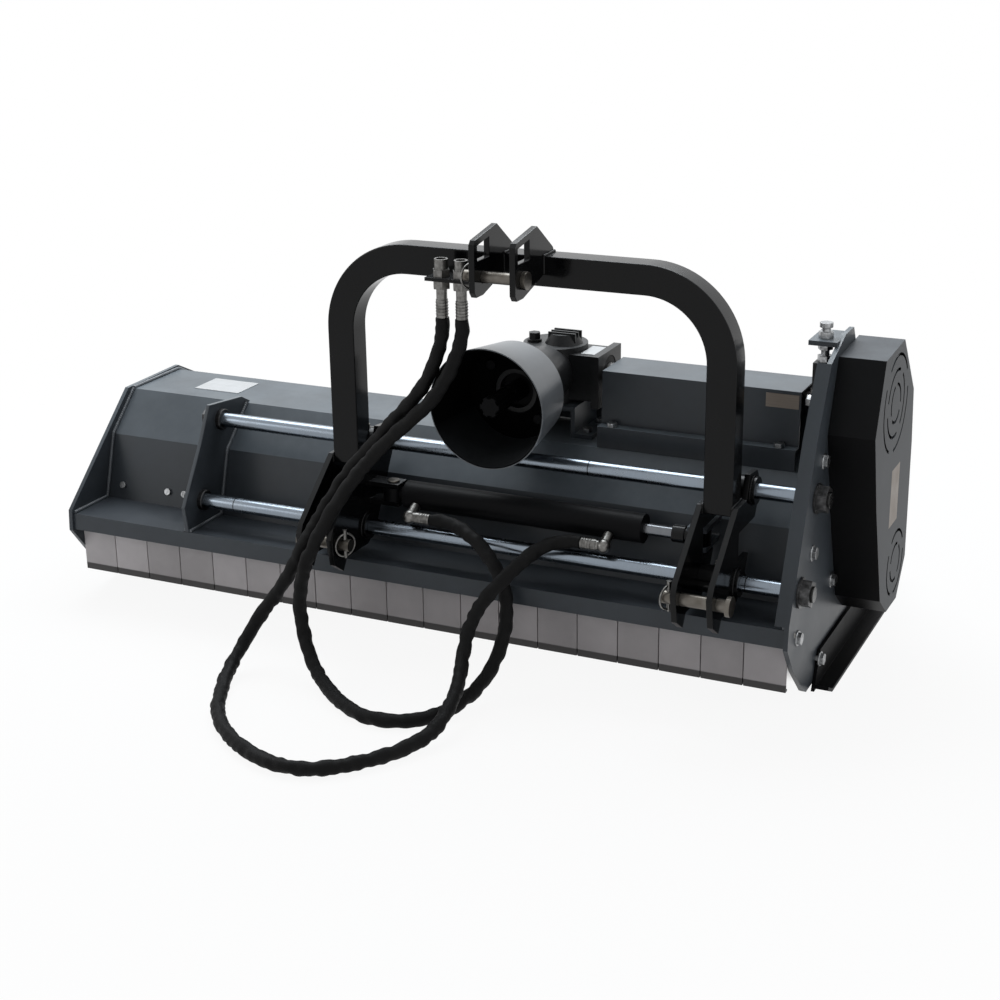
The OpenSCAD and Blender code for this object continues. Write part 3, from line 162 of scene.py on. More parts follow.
floor_material, tree = shader("pale_floor")
lit = put(tree, "ShaderNodeBsdfDiffuse", {"Color": floor_tint})
glow = put(tree, "ShaderNodeEmission", {"Color": white_tint, "Strength": 1.0})
at = put(tree, "ShaderNodeTexCoord").outputs["Object"]
place = parts(tree, at)
reach = put(tree, "ShaderNodeVectorMath", {0: at}, operation="LENGTH").outputs["Value"]
bright = spread(tree, reach, near_reach, far_reach, near_glow, far_glow)
across = math_node(tree, "ABSOLUTE", place["X"])
beside = spread(tree, across, shade_half_x, shade_half_x + fade_x, shade_glow, 1.0)
before = spread(tree, place["Y"], shade_front, shade_front + fade_y, 1.0, shade_glow)
behind = spread(tree, place["Y"], shade_back, shade_back + fade_y, shade_glow, 1.0)
outside = math_node(tree, "MAXIMUM", math_node(tree, "MAXIMUM", beside, before), behind)
share = math_node(tree, "MULTIPLY", seen_white(tree), math_node(tree, "MULTIPLY", bright, outside))
both = put(tree, "ShaderNodeMixShader", {0: share, 1: lit.outputs[0], 2: glow.outputs[0]})
put(tree, "ShaderNodeOutputMaterial", {"Surface": both.outputs[0]})
floor_corners = [(-floor_half, -floor_half, 0), (floor_half, -floor_half, 0),
                 (floor_half, floor_half, 0), (-floor_half, floor_half, 0)]
floor_mesh = bpy.data.meshes.new("floor")
floor_mesh.from_pydata(floor_corners, [], [(0, 1, 2, 3)])
floor_mesh.materials.append(floor_material)
floor = bpy.data.objects.new("floor", floor_mesh)
scene.collection.objects.link(floor)
print("floor is", 2 * floor_half, "m wide")

# %% [markdown]
# ## Lamps
# The photograph's light comes from above and behind, so tops are pale and fronts are dark. One wide
# softbox hangs there, a weak one lights the belt side, and a third fills the front from the left.

# %% Lamps


def softbox(name, place, aim, width, height, power, tint=(1.0, 1.0, 1.0)):
    data = bpy.data.lights.new(name, "AREA")
    data.shape = "RECTANGLE"
    data.size, data.size_y = width, height
    data.energy = power
    data.color = tint
    lamp = bpy.data.objects.new(name, data)
    scene.collection.objects.link(lamp)
    lamp.location = place
    lamp.rotation_euler = (Vector(aim) - Vector(place)).to_track_quat("-Z", "Y").to_euler()


softbox("top_softbox", place=(-0.75, 1.3, 3.0), aim=(0.0, 0.0, 0.35), width=3.4, height=2.2, power=138.0,
        tint=(0.91, 0.96, 1.0))
softbox("right_softbox", place=(3.4, 0.2, 1.9), aim=(0.7, 0.0, 0.4), width=1.8, height=1.8, power=11.0,
        tint=(0.93, 0.97, 1.0))
softbox("front_softbox", place=(-2.7, -2.3, 1.5), aim=(-0.3, -0.2, 0.3), width=1.6, height=1.4, power=15.0)

# %% [markdown]
# ## Shared effects
# Paint, castings and steel all carry fine unevenness, so it is built once as node groups. Each group
# reads Object coordinates, which every piece keeps, and puts out only masks and heights; the shaders stay
# in the materials.

# %% Shared effects
steep, level = 0.35, 0.95
shade_below, full_light_above = 0.18, 0.3
bare_patch = 0.4


def effect(name, inputs, outputs):
    group = bpy.data.node_groups.new(name, "ShaderNodeTree")
    for label, value in inputs:
        socket = group.interface.new_socket(label, in_out="INPUT", socket_type="NodeSocketFloat")
        socket.default_value = value
    for label in outputs:
        group.interface.new_socket(label, in_out="OUTPUT", socket_type="NodeSocketFloat")
    return group, put(group, "NodeGroupInput").outputs, put(group, "NodeGroupOutput").inputs


def place_effect(tree, group, values):
    node = put(tree, "ShaderNodeGroup", node_tree=group)
    for label, value in values.items():
        node.inputs[label].default_value = value
    return node.outputs


def noise(tree, at, scale, detail, rough):
    links = {"Vector": at, "Scale": scale, "Detail": detail, "Roughness": rough}
    return put(tree, "ShaderNodeTexNoise", links).outputs[0]


# Sprayed paint: soft clouds of tone and an orange peel height
paint_skin, given, made = effect("paint_skin", [("Cloud Scale", 7.0), ("Peel Scale", 420.0)],
                                 ["Cloud", "Peel"])
at = put(paint_skin, "ShaderNodeTexCoord").outputs["Object"]
cloud = noise(paint_skin, at, given["Cloud Scale"], detail=4.0, rough=0.6)
peel = noise(paint_skin, at, given["Peel Scale"], detail=2.0, rough=0.5)
paint_skin.links.new(spread(paint_skin, cloud, low=0.32, high=0.68), made["Cloud"])
paint_skin.links.new(peel, made["Peel"])

# Dust on open faces that look up, in patches, which also stands in for painted light from above; low ledges
# under the hitch get none of it and stay dark as painted shade
dust_and_top_light, given, made = effect("dust_and_top_light", [("Patch Scale", 9.0), ("Amount", 0.5)], ["Mask"])
at = put(dust_and_top_light, "ShaderNodeTexCoord").outputs["Object"]
facing = parts(dust_and_top_light, put(dust_and_top_light, "ShaderNodeNewGeometry").outputs["Normal"])
upward = spread(dust_and_top_light, facing["Z"], steep, level)
patches = noise(dust_and_top_light, at, given["Patch Scale"], detail=5.0, rough=0.65)
patch = spread(dust_and_top_light, patches, low=0.25, high=0.8, to_low=bare_patch)
# Below a height the pale layer fades out: painted shade on the low ledges under the hitch
above_painted_shade = spread(dust_and_top_light, parts(dust_and_top_light, at)["Z"], shade_below, full_light_above)
open_top = math_node(dust_and_top_light, "MULTIPLY", math_node(dust_and_top_light, "MULTIPLY", upward, patch), above_painted_shade)
dust_and_top_light.links.new(math_node(dust_and_top_light, "MULTIPLY", open_top, given["Amount"]), made["Mask"])

# Fine marks along one axis, as a lathe, a grinder or a rolling mill leaves them, and stains
line_inputs = [("Along X", 4.0), ("Across", 900.0), ("Stain Scale", 26.0)]
drawn_lines, given, made = effect("drawn_lines", line_inputs, ["Lines", "Stain"])
at = put(drawn_lines, "ShaderNodeTexCoord").outputs["Object"]
stretch = put(drawn_lines, "ShaderNodeCombineXYZ", {0: given["Along X"], 1: given["Across"],
                                                    2: given["Across"]})
scaled = put(drawn_lines, "ShaderNodeVectorMath", {0: at, 1: stretch.outputs[0]}, operation="MULTIPLY")
line = noise(drawn_lines, scaled.outputs[0], scale=1.0, detail=2.0, rough=0.5)
stain = noise(drawn_lines, at, given["Stain Scale"], detail=4.0, rough=0.6)
drawn_lines.links.new(spread(drawn_lines, line, low=0.3, high=0.7), made["Lines"])
drawn_lines.links.new(spread(drawn_lines, stain, low=0.35, high=0.7), made["Stain"])
print("shared effects:", [g.name for g in bpy.data.node_groups])

# %% [markdown]
# ## Paints
# The housing is semi-gloss gunmetal paint, the hitch gloss black, and the gearbox a black painted
# casting. Each paint mixes two tones by the clouds and gets its orange peel from a Bump node. Dust lies
# pale on what looks up, and the same pale layer is painted light from above. Values that are the same
# all over are set on the shader itself, so that they survive an export.

# %% Paints
peel_height = 0.0006
smoothest, roughest = -0.05, 0.07
coat_rough = 0.08


def tone(color, factor=1.0):
    return tuple(min(1.0, c * factor) for c in color) + (1.0,)


def mixed(tree, mask, first, second):
    """Mixes two colours by a mask; a Mix node has its colours at inputs 6 and 7 and output 2."""
    node = put(tree, "ShaderNodeMix", data_type="RGBA")
    tree.links.new(mask, node.inputs[0])
    for slot, value in ((6, first), (7, second)):
        if isinstance(value, bpy.types.NodeSocket):
            tree.links.new(value, node.inputs[slot])
        else:
            node.inputs[slot].default_value = value
    return node.outputs[2]


def bumped(tree, height, strength, distance):
    bump = put(tree, "ShaderNodeBump", {"Height": height, "Strength": strength, "Distance": distance})
    return bump.outputs["Normal"]


def close_material(tree, **inputs):
    """Ends a material in one shader; an input's name has _ for each space."""
    values = {key.replace("_", " "): value for key, value in inputs.items()}
    surface = put(tree, "ShaderNodeBsdfPrincipled", values)
    put(tree, "ShaderNodeOutputMaterial", {"Surface": surface.outputs[0]})


# The pale layer on faces that look up is partly dust and partly painted light from above; its bluish tint is
# partly a painted reflection of the sky
def painted(name, color, rough, dust_and_light, dust_and_sky_tint=(0.34, 0.35, 0.36), specular=0.5, coat=0.0, peel=0.05,
            shift=0.16):
    material, tree = shader(name)
    skin = place_effect(tree, paint_skin, {})
    fall = place_effect(tree, dust_and_top_light, {"Amount": dust_and_light})
    paint = mixed(tree, skin["Cloud"], tone(color, 1.0 - shift), tone(color, 1.0 + shift))
    dusty_and_lit = mixed(tree, fall["Mask"], paint, tone(dust_and_sky_tint))
    roughness = spread(tree, skin["Cloud"], 0.0, 1.0, rough + smoothest, rough + roughest)
    normal = bumped(tree, skin["Peel"], peel, peel_height)
    close_material(tree, Base_Color=dusty_and_lit, Roughness=roughness, Normal=normal, Specular_IOR_Level=specular,
                   Coat_Weight=coat, Coat_Roughness=coat_rough)
    return material


# The housing's pale bluish tops are partly dust and partly painted light and sky reflection; the arch's tops
# get a little of the same painted light
housing_paint = painted("housing_paint", (0.044, 0.051, 0.059), rough=0.36, dust_and_light=0.44,
                        dust_and_sky_tint=(0.28, 0.325, 0.36), specular=0.28)
black_gloss = painted("black_gloss", (0.0035, 0.0036, 0.004), rough=0.16, dust_and_light=0.14, specular=0.11, coat=0.1,
                      peel=0.04, shift=0.25)
black_satin = painted("black_satin", (0.005, 0.0052, 0.006), rough=0.36, dust_and_light=0.05, specular=0.25,
                      shift=0.25)
black_dull_and_shade = painted("black_dull_and_shade", (0.004, 0.0041, 0.0046), rough=0.46, dust_and_light=0.02, specular=0.06, shift=0.25)
casting_black = painted("casting_black", (0.008, 0.0084, 0.0092), rough=0.4, dust_and_light=0.14, specular=0.22,
                        peel=0.35, shift=0.3)
weld_paint = painted("weld_paint", (0.11, 0.12, 0.132), rough=0.36, dust_and_light=0.1, peel=0.12)
belt_rubber = painted("belt_rubber", (0.018, 0.018, 0.018), rough=0.7, dust_and_light=0.2, peel=0.2)
print("finishes after the paints:", len(bpy.data.materials))

# %% [markdown]
# ## Two tones on one piece
# The guard is painted near black inside as painted shade and grey outside as a painted reflection of its
# gloss black, the belt cover's faces that look to the front are darkened as painted shade, the flaps' hem
# is darkened as painted shade, and single flaps differ a little in tone. Each is one CAD solid, so a mask
# from Object coordinates or the normal parts its two tones. The guard's gloss is a coat that its mask
# keeps to the outside.

# %% Two tones on one piece
guard_x, guard_z = 0.146, 0.470
guard_mouth = -0.305
guard_inside = 0.1021
guard_taper = 0.016 / 0.124
shade_starts, shade_full = -0.15, -0.5
flap_start, flap_pitch = -0.718, 1.392 / 19
flap_hem, hem_fade = 0.062, 0.002
hem_shade_share = 0.1
soft_coat = 0.3
broad_clouds, cloud_shift = 6.0, 0.15
thin_dust_and_sky = (0.27, 0.29, 0.31)


# Mask of the guard's inside, which is painted near black as painted shade; the outside is painted grey as a
# painted reflection
def guard_inside_shade(tree, place, facing):
    across = math_node(tree, "SUBTRACT", place["X"], guard_x)
    height = math_node(tree, "SUBTRACT", place["Z"], guard_z)
    across_squared = math_node(tree, "MULTIPLY", across, across)
    height_squared = math_node(tree, "MULTIPLY", height, height)
    radius = math_node(tree, "SQRT", math_node(tree, "ADD", across_squared, height_squared))
    depth = math_node(tree, "SUBTRACT", place["Y"], guard_mouth)
    at_mouth = math_node(tree, "MULTIPLY_ADD", depth, guard_taper, radius)
    return math_node(tree, "LESS_THAN", at_mouth, guard_inside)


# Faces that look to the front get the near black tone: painted shade on a cover that is one grey
def front_painted_shade(tree, place, facing):
    return spread(tree, facing["Y"], shade_starts, shade_full)


def single_flaps(tree, place, facing):
    along = math_node(tree, "SUBTRACT", place["X"], flap_start)
    count = math_node(tree, "FLOOR", math_node(tree, "DIVIDE", along, flap_pitch))
    return put(tree, "ShaderNodeTexWhiteNoise", {"W": count}, noise_dimensions="1D").outputs["Value"]


# Darkens the folded hem at the flaps' foot as painted shade
def hem_painted_shade(tree, place):
    return spread(tree, place["Z"], flap_hem + hem_fade, flap_hem)


def masked(name, at_mask, color_a, color_b, rough_a, rough_b, specular=0.4, peel=0.05, dust_and_light=0.2,
           shade_mask=None, coat=0.0):
    """Two tones on one piece, parted by a mask that a function builds, and a band of painted shade where one
    is given; the coat is on the first alone.
    """
    material, tree = shader(name)
    place = parts(tree, put(tree, "ShaderNodeTexCoord").outputs["Object"])
    facing = parts(tree, put(tree, "ShaderNodeNewGeometry").outputs["Normal"])
    mask = at_mask(tree, place, facing)
    skin = place_effect(tree, paint_skin, {"Cloud Scale": broad_clouds})
    fall = place_effect(tree, dust_and_top_light, {"Amount": dust_and_light})
    less, more = 1.0 - cloud_shift, 1.0 + cloud_shift
    first = mixed(tree, skin["Cloud"], tone(color_a, less), tone(color_a, more))
    second = mixed(tree, skin["Cloud"], tone(color_b, less), tone(color_b, more))
    paint = mixed(tree, fall["Mask"], mixed(tree, mask, first, second), tone(thin_dust_and_sky))
    # A band darkened as painted shade
    if shade_mask:
        paint = mixed(tree, shade_mask(tree, place), paint, tone(color_b, hem_shade_share))
    close_material(tree, Base_Color=paint, Roughness=spread(tree, mask, 0.0, 1.0, rough_a, rough_b),
                   Normal=bumped(tree, skin["Peel"], peel, peel_height),
                   Coat_Weight=spread(tree, mask, 0.0, 1.0, coat, 0.0) if coat else 0.0,
                   Coat_Roughness=soft_coat, Specular_IOR_Level=specular)
    return material


# The cover's front faces are darkened as painted shade, and its pale top is dust and painted light from
# above
cover_front_shaded = masked("cover_front_shaded", front_painted_shade, (0.03, 0.034, 0.039), (0.0035, 0.0036, 0.004),
                     rough_a=0.4, rough_b=0.45, specular=0.08, dust_and_light=0.5)
# Grey outside as a painted reflection, near black inside as painted shade
guard_lit_and_shaded = masked("guard_lit_and_shaded", guard_inside_shade, (0.12, 0.129, 0.14), (0.001, 0.001, 0.0011),
                     rough_a=0.38, rough_b=0.75, specular=0.03, peel=0.1, coat=0.75)
# Single flaps differ at random in tone; the hem's darker band is painted shade
flap_tones_and_hem_shade = masked("flap_tones_and_hem_shade", single_flaps, (0.5, 0.463, 0.462), (0.4, 0.37, 0.368),
                    rough_a=0.46, rough_b=0.56, peel=0.08, shade_mask=hem_painted_shade)
print("finishes after the two tone paints:", len(bpy.data.materials))

# %% [markdown]
# ## Steels
# The bars are hard chrome, the pins and bolts zinc, and gears, pulleys and hammers bare metal. Each metal
# has drawn marks and stains at its own scale, because small hardware looks flat under wide, even light.
# The bars have thin dark seams, and are dark beyond the right end plate.

# %% Steels
seam_half, seam_tone = 0.0009, (0.02, 0.02, 0.02)
line_height = 0.0004
stain_rough = 0.12
end_fade = 0.001
right_plate_x = 0.683
upper_bar_z, lower_bar_z = (0.3, 0.4), (0.18, 0.26)
plate_brown = (0.2, 0.165, 0.135)


def steel(name, color, rough, lines=0.12, along=4.0, across=900.0, metal=1.0, stain=(0.2, 0.19, 0.17),
          stained=0.25, stain_scale=26.0, relief=0.03, end_tone=None, seams=()):
    """Metal with drawn marks and stains; a seam is an X and two heights, end_tone is beyond the plate."""
    material, tree = shader(name)
    marks = place_effect(tree, drawn_lines, {"Along X": along, "Across": across, "Stain Scale": stain_scale})
    drawn = mixed(tree, marks["Lines"], tone(color, 1.0 - lines), tone(color, 1.0 + lines))
    worn = mixed(tree, math_node(tree, "MULTIPLY", marks["Stain"], stained), drawn, tone(stain))
    place = parts(tree, put(tree, "ShaderNodeTexCoord").outputs["Object"])
    for x, (low, high) in seams:
        above = math_node(tree, "GREATER_THAN", place["Z"], low)
        below = math_node(tree, "LESS_THAN", place["Z"], high)
        at_x = math_node(tree, "COMPARE", place["X"], x, seam_half)
        seam = math_node(tree, "MULTIPLY", at_x, math_node(tree, "MULTIPLY", above, below))
        worn = mixed(tree, seam, worn, tone(seam_tone))
    if end_tone:
        beyond = spread(tree, place["X"], right_plate_x, right_plate_x + end_fade)
        worn = mixed(tree, beyond, worn, tone(end_tone))
    roughness = spread(tree, marks["Stain"], 0.0, 1.0, rough, rough + stain_rough)
    normal = bumped(tree, marks["Lines"], relief, line_height)
    close_material(tree, Base_Color=worn, Roughness=roughness, Normal=normal, Metallic=metal)
    return material


bar_chrome = steel("bar_chrome", (0.215, 0.25, 0.292), rough=0.2, lines=0.03, along=700.0, across=5.0,
                   stained=0.12, relief=0.0, end_tone=(0.03, 0.03, 0.03),
                   seams=((0.288, upper_bar_z), (-0.382, lower_bar_z), (0.594, lower_bar_z)))
rod_chrome = steel("rod_chrome", (0.14, 0.15, 0.165), rough=0.2, lines=0.05, along=700.0, across=5.0,
                   stained=0.2, relief=0.0)
zinc = steel("zinc", (0.4, 0.39, 0.365), rough=0.32, lines=0.1, along=160.0, across=160.0, stained=0.35,
             stain_scale=110.0)
pin_zinc = steel("pin_zinc", (0.15, 0.14, 0.126), rough=0.3, along=160.0, across=160.0,
                 stain=(0.06, 0.05, 0.038), stained=0.6, stain_scale=80.0)
dark_bolt = steel("dark_bolt", (0.085, 0.085, 0.087), rough=0.3, along=160.0, across=160.0,
                  stain=(0.012, 0.012, 0.012), stained=0.85, stain_scale=110.0)
dull_steel = steel("dull_steel", (0.42, 0.43, 0.44), rough=0.28, along=220.0, across=220.0,
                   stain=(0.05, 0.05, 0.05), stained=0.8, stain_scale=120.0)
fitting_steel = steel("fitting_steel", (0.19, 0.187, 0.18), rough=0.3, along=220.0, across=220.0,
                      stain=(0.04, 0.038, 0.035), stained=0.65, stain_scale=120.0)
machined_steel = steel("machined_steel", (0.42, 0.42, 0.42), rough=0.3, lines=0.14, along=500.0, across=8.0,
                       stained=0.2)
hammer_iron = steel("hammer_iron", (0.09, 0.085, 0.08), rough=0.55, lines=0.2, along=90.0, across=90.0,
                    metal=0.7, stain=(0.1, 0.06, 0.035), stained=0.5, relief=0.25)
bare_plate = steel("bare_plate", (0.5, 0.51, 0.52), rough=0.38, lines=0.06, along=12.0, across=700.0,
                   metal=0.35, end_tone=plate_brown)
brown_plate = steel("brown_plate", plate_brown, rough=0.4, lines=0.06, along=12.0, across=700.0, metal=0.3)
print("finishes after the steels:", len(bpy.data.materials))

# %% [markdown]
# ## Finish of each node
# Every CAD node but the two hoses gets one finish. The number beside a node is the width in millimetres
# of its rounded edges.

# %% Finish of each node
finish_of = {
    housing_paint: {"hood": 1.6, "left_end_plate": 1.5, "right_end_plate": 1.5, "gusset": 1.5,
                    "shaft_box": 1.6, "rod_lug": 1.0, "gearbox_stand": 1.2, "roller_brackets": 1.2},
    cover_front_shaded: {"belt_cover": 2.4},
    black_gloss: {"hitch_arch": 6.0, "left_bracket": 1.6, "right_bracket": 1.6, "slide_sleeves": 1.0,
                  "top_link_lugs": 1.6, "bulkhead_bracket": 1.0, "rod_eye": 1.0},
    # The input shaft, the gearbox bearings and the guard's bolts sit deep in the guard: their dull black is
    # painted shade
    black_dull_and_shade: {"left_skid": 1.2, "right_skid": 1.2, "ram_barrel": 1.2, "gearbox_bearings": 0.6,
                 "guard_bolts": 0.8, "input_shaft": 0.6},
    guard_lit_and_shaded: {"shaft_guard": 1.0},
    black_satin: {"rear_roller": 1.5, "rotor": 1.0, "shaft_carrier": 1.5, "rotor_bearings": 1.5},
    casting_black: {"gearbox_case": 2.5, "gearbox_cover": 2.0, "filler_plug": 0.8},
    bar_chrome: {"upper_bar": 1.0, "lower_bar": 1.0},
    rod_chrome: {"ram_rod": 0.8},
    zinc: {"flap_rod": 0.8, "grease_nipples": 0.6, "linch_pins": 0.0},
    pin_zinc: {"top_pin": 1.0, "lower_pins": 1.0, "base_pin": 0.8, "rod_pin": 0.8},
    dark_bolt: {"bar_nuts": 1.2},
    dull_steel: {"plate_bolts": 0.9, "tension_bolt": 0.9, "deck_bolts": 0.8},
    fitting_steel: {"port_elbows": 0.8, "hose_ferrules": 0.8, "bulkhead_fittings": 0.8},
    machined_steel: {"bevel_gear": 0.6, "bevel_pinion": 0.6, "drive_shaft": 0.8,
                     "drive_pulley": 0.6, "rotor_pulley": 0.6, "hammer_bolts": 0.8},
    flap_tones_and_hem_shade: {"front_flaps": 0.6},
    hammer_iron: {"front_hammers": 1.5, "rear_hammers": 1.5},
    belt_rubber: {"drive_belts": 0.0},
    bare_plate: {"blank_plates": 0.3},
}
print("finishes in use:", len(finish_of))

# %% [markdown]
# ## Rounded edges
# The CAD solids already have the right shapes. Real sheet and plate never have knife edges, so most of
# them get a small bevel: the triangles are welded, flat faces are joined again, edges are rounded, and
# the normals are weighted so that flats stay flat. Nothing is moved, because modifiers leave the frame's
# own mesh alone.

# %% Rounded edges
weld_reach = 0.00001
flat_limit, split_limit = 0.4, 50.0
corner_limit, fold_limit = 32.0, 12.0


def dress(name, material, round_mm, limit_deg, steps):
    piece = nodes[name]
    piece.data.materials.clear()
    piece.data.materials.append(material)
    for layer in ("custom_normal", "sharp_face", "sharp_edge"):
        if layer in piece.data.attributes:
            piece.data.attributes.remove(piece.data.attributes[layer])
    piece.data.polygons.foreach_set("use_smooth", [True] * len(piece.data.polygons))
    weld = piece.modifiers.new("join_triangles", "WELD")
    weld.merge_threshold = weld_reach
    if round_mm > 0:
        flats = piece.modifiers.new("join_flats", "DECIMATE")
        flats.decimate_type = "DISSOLVE"
        flats.angle_limit = math.radians(flat_limit)
        edge = piece.modifiers.new("round_edges", "BEVEL")
        edge.width = round_mm / 1000
        edge.segments = steps
        edge.limit_method = "ANGLE"
        edge.angle_limit = math.radians(limit_deg)
        edge.use_clamp_overlap = True
        edge.miter_outer = "MITER_ARC"
        edge.harden_normals = False
    split = piece.modifiers.new("keep_corners", "EDGE_SPLIT")
    split.split_angle = math.radians(split_limit)
    weighted = piece.modifiers.new("weigh_normals", "WEIGHTED_NORMAL")
    weighted.keep_sharp = True


folded_sheets = ("hood", "shaft_box", "belt_cover")
rounder_edges = ("hitch_arch", "belt_cover")
plain_steps, rounder_steps = 2, 3
for material, group in finish_of.items():
    for name, round_mm in group.items():
        limit = fold_limit if name in folded_sheets else corner_limit
        steps = rounder_steps if name in rounder_edges else plain_steps
        dress(name, material, round_mm, limit, steps)
print("dressed:", sum(len(group) for group in finish_of.values()), "of", len(nodes))

# %% [markdown]
# ## Hose routes
# Two hydraulic hoses run from the bulkhead on the arch down to the ground in loops and up to the ram's
# ports. Their points are the CAD's, in the machine's own millimetres. A smooth curve through them is cut
# into even steps, with side vectors that turn as little as possible, so that a sleeve along it doesn't
# twist.

# %% Hose routes
to_final = Vector((-0.022, 0.059, 0.0))
steps_between = 24
outer_route = [
    (96, -372, 622), (96, -372, 598), (92, -377, 574), (86, -383, 550), (76, -389, 524),
    (61, -394, 498), (40, -397, 472), (14, -400, 444), (-27, -404, 396), (-74, -414, 340),
    (-106, -445, 280), (-126, -482, 226), (-146, -490, 184), (-176, -493, 136), (-204, -503, 96),
    (-222, -526, 58), (-226, -566, 29), (-214, -614, 16), (-192, -661, 13), (-166, -709, 13),
    (-122, -761, 13), (-60, -806, 13), (7, -834, 13), (66, -834, 13), (111, -811, 13),
    (155, -763, 13), (184, -715, 14), (206, -663, 22), (211, -612, 40), (203, -558, 60),
    (188, -508, 86), (184, -474, 122), (198, -452, 162), (218, -430, 190), (240, -404, 216),
    (258, -381, 234), (276, -363.5, 245), (296, -351, 250.5), (314, -345.03, 252.06),
    (332, -345.03, 252.06)]
inner_route = [
    (132, -372, 622), (132, -372, 598), (128, -379, 573), (120, -388, 546), (108, -397, 519),
    (92, -405, 493), (70, -412, 468), (22, -425, 422), (-20, -432, 377), (-56, -446, 328),
    (-82, -474, 276), (-98, -506, 226), (-112, -509, 188), (-124, -506, 134), (-121, -508, 100),
    (-108, -517, 62), (-82, -537, 32), (-44, -567, 17), (6, -605, 13), (68, -636, 13),
    (123, -634, 13), (161, -610, 13), (184, -572, 14), (202, -526, 21), (214, -482, 38),
    (221, -446, 66), (224, -420, 104), (221, -405, 146), (211, -399, 180), (192, -393, 209),
    (165, -382, 232), (131, -366, 246), (102, -353, 251), (75, -345.03, 252.06),
    (49, -345.03, 252.06)]


def machine_point(point):
    """A point in the machine's own millimetres as a place in the frame."""
    return Vector(point) / 1000 + to_final


def smooth_line(route, step):
    """Even points on a curve through the route, which starts and ends straight."""
    points = [machine_point(p) for p in route]
    fine = []
    for i in range(len(points) - 1):
        p0, p1, p2, p3 = (points[max(0, min(len(points) - 1, i + k))] for k in (-1, 0, 1, 2))
        for k in range(steps_between):
            t = k / steps_between
            fine.append(0.5 * (2 * p1 + (p2 - p0) * t + (2 * p0 - 5 * p1 + 4 * p2 - p3) * t * t
                               + (3 * p1 - p0 - 3 * p2 + p3) * t * t * t))
    fine.append(points[-1])
    along = np.concatenate([[0.0], np.cumsum([(b - a).length for a, b in zip(fine, fine[1:])])])
    count = int(round(along[-1] / step)) + 1
    table = np.array(fine)
    even = np.linspace(0.0, along[-1], count)
    return np.stack([np.interp(even, along, table[:, k]) for k in range(3)], axis=1), along[-1]


def carried_frames(line):
    """Side vectors that turn as little as possible along the line."""
    forward = np.gradient(line, axis=0)
    forward /= np.linalg.norm(forward, axis=1)[:, None]
    side = np.array([0.0, 1.0, 0.0])
    sides = []
    for f in forward:
        side = side - f * (side @ f)
        side /= np.linalg.norm(side)
        sides.append(side.copy())
    sides = np.array(sides)
    return sides, np.cross(forward, sides)


print("route points:", len(outer_route), len(inner_route))

# %% [markdown]
# ## Sleeve cloth
# The hoses wear black woven sleeves. The weave is a brick pattern on the sleeve's own UV map, which runs
# round and along the hose, and worn patches come from the paint's clouds at a smaller scale.

# %% Sleeve cloth
weave_relief, weave_height = 0.35, 0.0006
gap_tone, thread_tone, worn_tone = (0.001, 0.001, 0.0011), (0.0036, 0.0036, 0.004), (0.006, 0.006, 0.0064)
most_worn = 0.35
sleeve_cloth, tree = shader("sleeve_cloth")
uv = put(tree, "ShaderNodeUVMap", uv_map="sleeve")
weave = put(tree, "ShaderNodeTexBrick", {"Vector": uv.outputs[0], "Scale": 1.0, "Mortar Size": 0.16,
                                         "Brick Width": 1.0, "Row Height": 0.5, "Color1": (1, 1, 1, 1),
                                         "Color2": (0.7, 0.7, 0.7, 1), "Mortar": (0, 0, 0, 1)})
threads = weave.outputs["Color"]
fuzz = place_effect(tree, paint_skin, {"Cloud Scale": 30.0, "Peel Scale": 1500.0})
thread = mixed(tree, threads, tone(gap_tone), tone(thread_tone))
worn_share = spread(tree, fuzz["Cloud"], low=0.5, high=1.0, to_high=most_worn)
worn = mixed(tree, worn_share, thread, tone(worn_tone))
rough_cloth = spread(tree, fuzz["Peel"], low=0.3, high=0.7, to_low=0.55, to_high=0.72)
close_material(tree, Base_Color=worn, Roughness=rough_cloth,
               Normal=bumped(tree, threads, weave_relief, weave_height), Specular_IOR_Level=0.14)
print("made", sleeve_cloth.name)

# %% [markdown]
# ## Sleeve wrinkles
# A sleeve bunches up in wrinkles. A plain swept curve would look like rubber pipe, so the rings of a
# sleeve swell and pinch by a sum of waves that a fixed seed draws.

# %% Sleeve wrinkles
any_phase = 6.28
wrinkle_sets = ((9, 0.03), (14, 0.024))
wrinkle_pitch, bunch_length = (0.014, 0.055), (0.12, 0.3)
fold_count, fold_size, fold_pitch = 5, 0.018, (0.02, 0.06)
mean_swell, least_swell, most_swell = 0.94, -0.24, 0.09
end_pinch, end_reach = 0.1, 0.008


def sleeve_swell(along, turn, length, seed):
    """Radius of the sleeve as a share of its half diameter: wrinkles across, folds along, drawn in ends."""
    draw = np.random.default_rng(seed)
    swell = np.zeros(np.broadcast(along, turn).shape)
    for count, size in wrinkle_sets:
        for _ in range(count):
            pitch = draw.uniform(*wrinkle_pitch)
            lean = draw.integers(-2, 3)
            wave = np.sin(2 * math.pi * along / pitch + lean * turn + draw.uniform(0, any_phase))
            bunch = np.sin(2 * math.pi * along / draw.uniform(*bunch_length) + draw.uniform(0, any_phase))
            swell += size * wave * (0.5 + 0.5 * bunch)
    for _ in range(fold_count):
        folds = draw.integers(2, 5)
        swell += fold_size * np.sin(folds * turn + along / draw.uniform(*fold_pitch)
                                    + draw.uniform(0, any_phase))
    ends = np.minimum(along, length - along)
    pinch = end_pinch * np.exp(-(ends / end_reach) ** 2)
    return mean_swell + np.clip(swell, least_swell, most_swell) - pinch


print("sleeve radius is at most", round(mean_swell + most_swell, 2), "of the hose's")

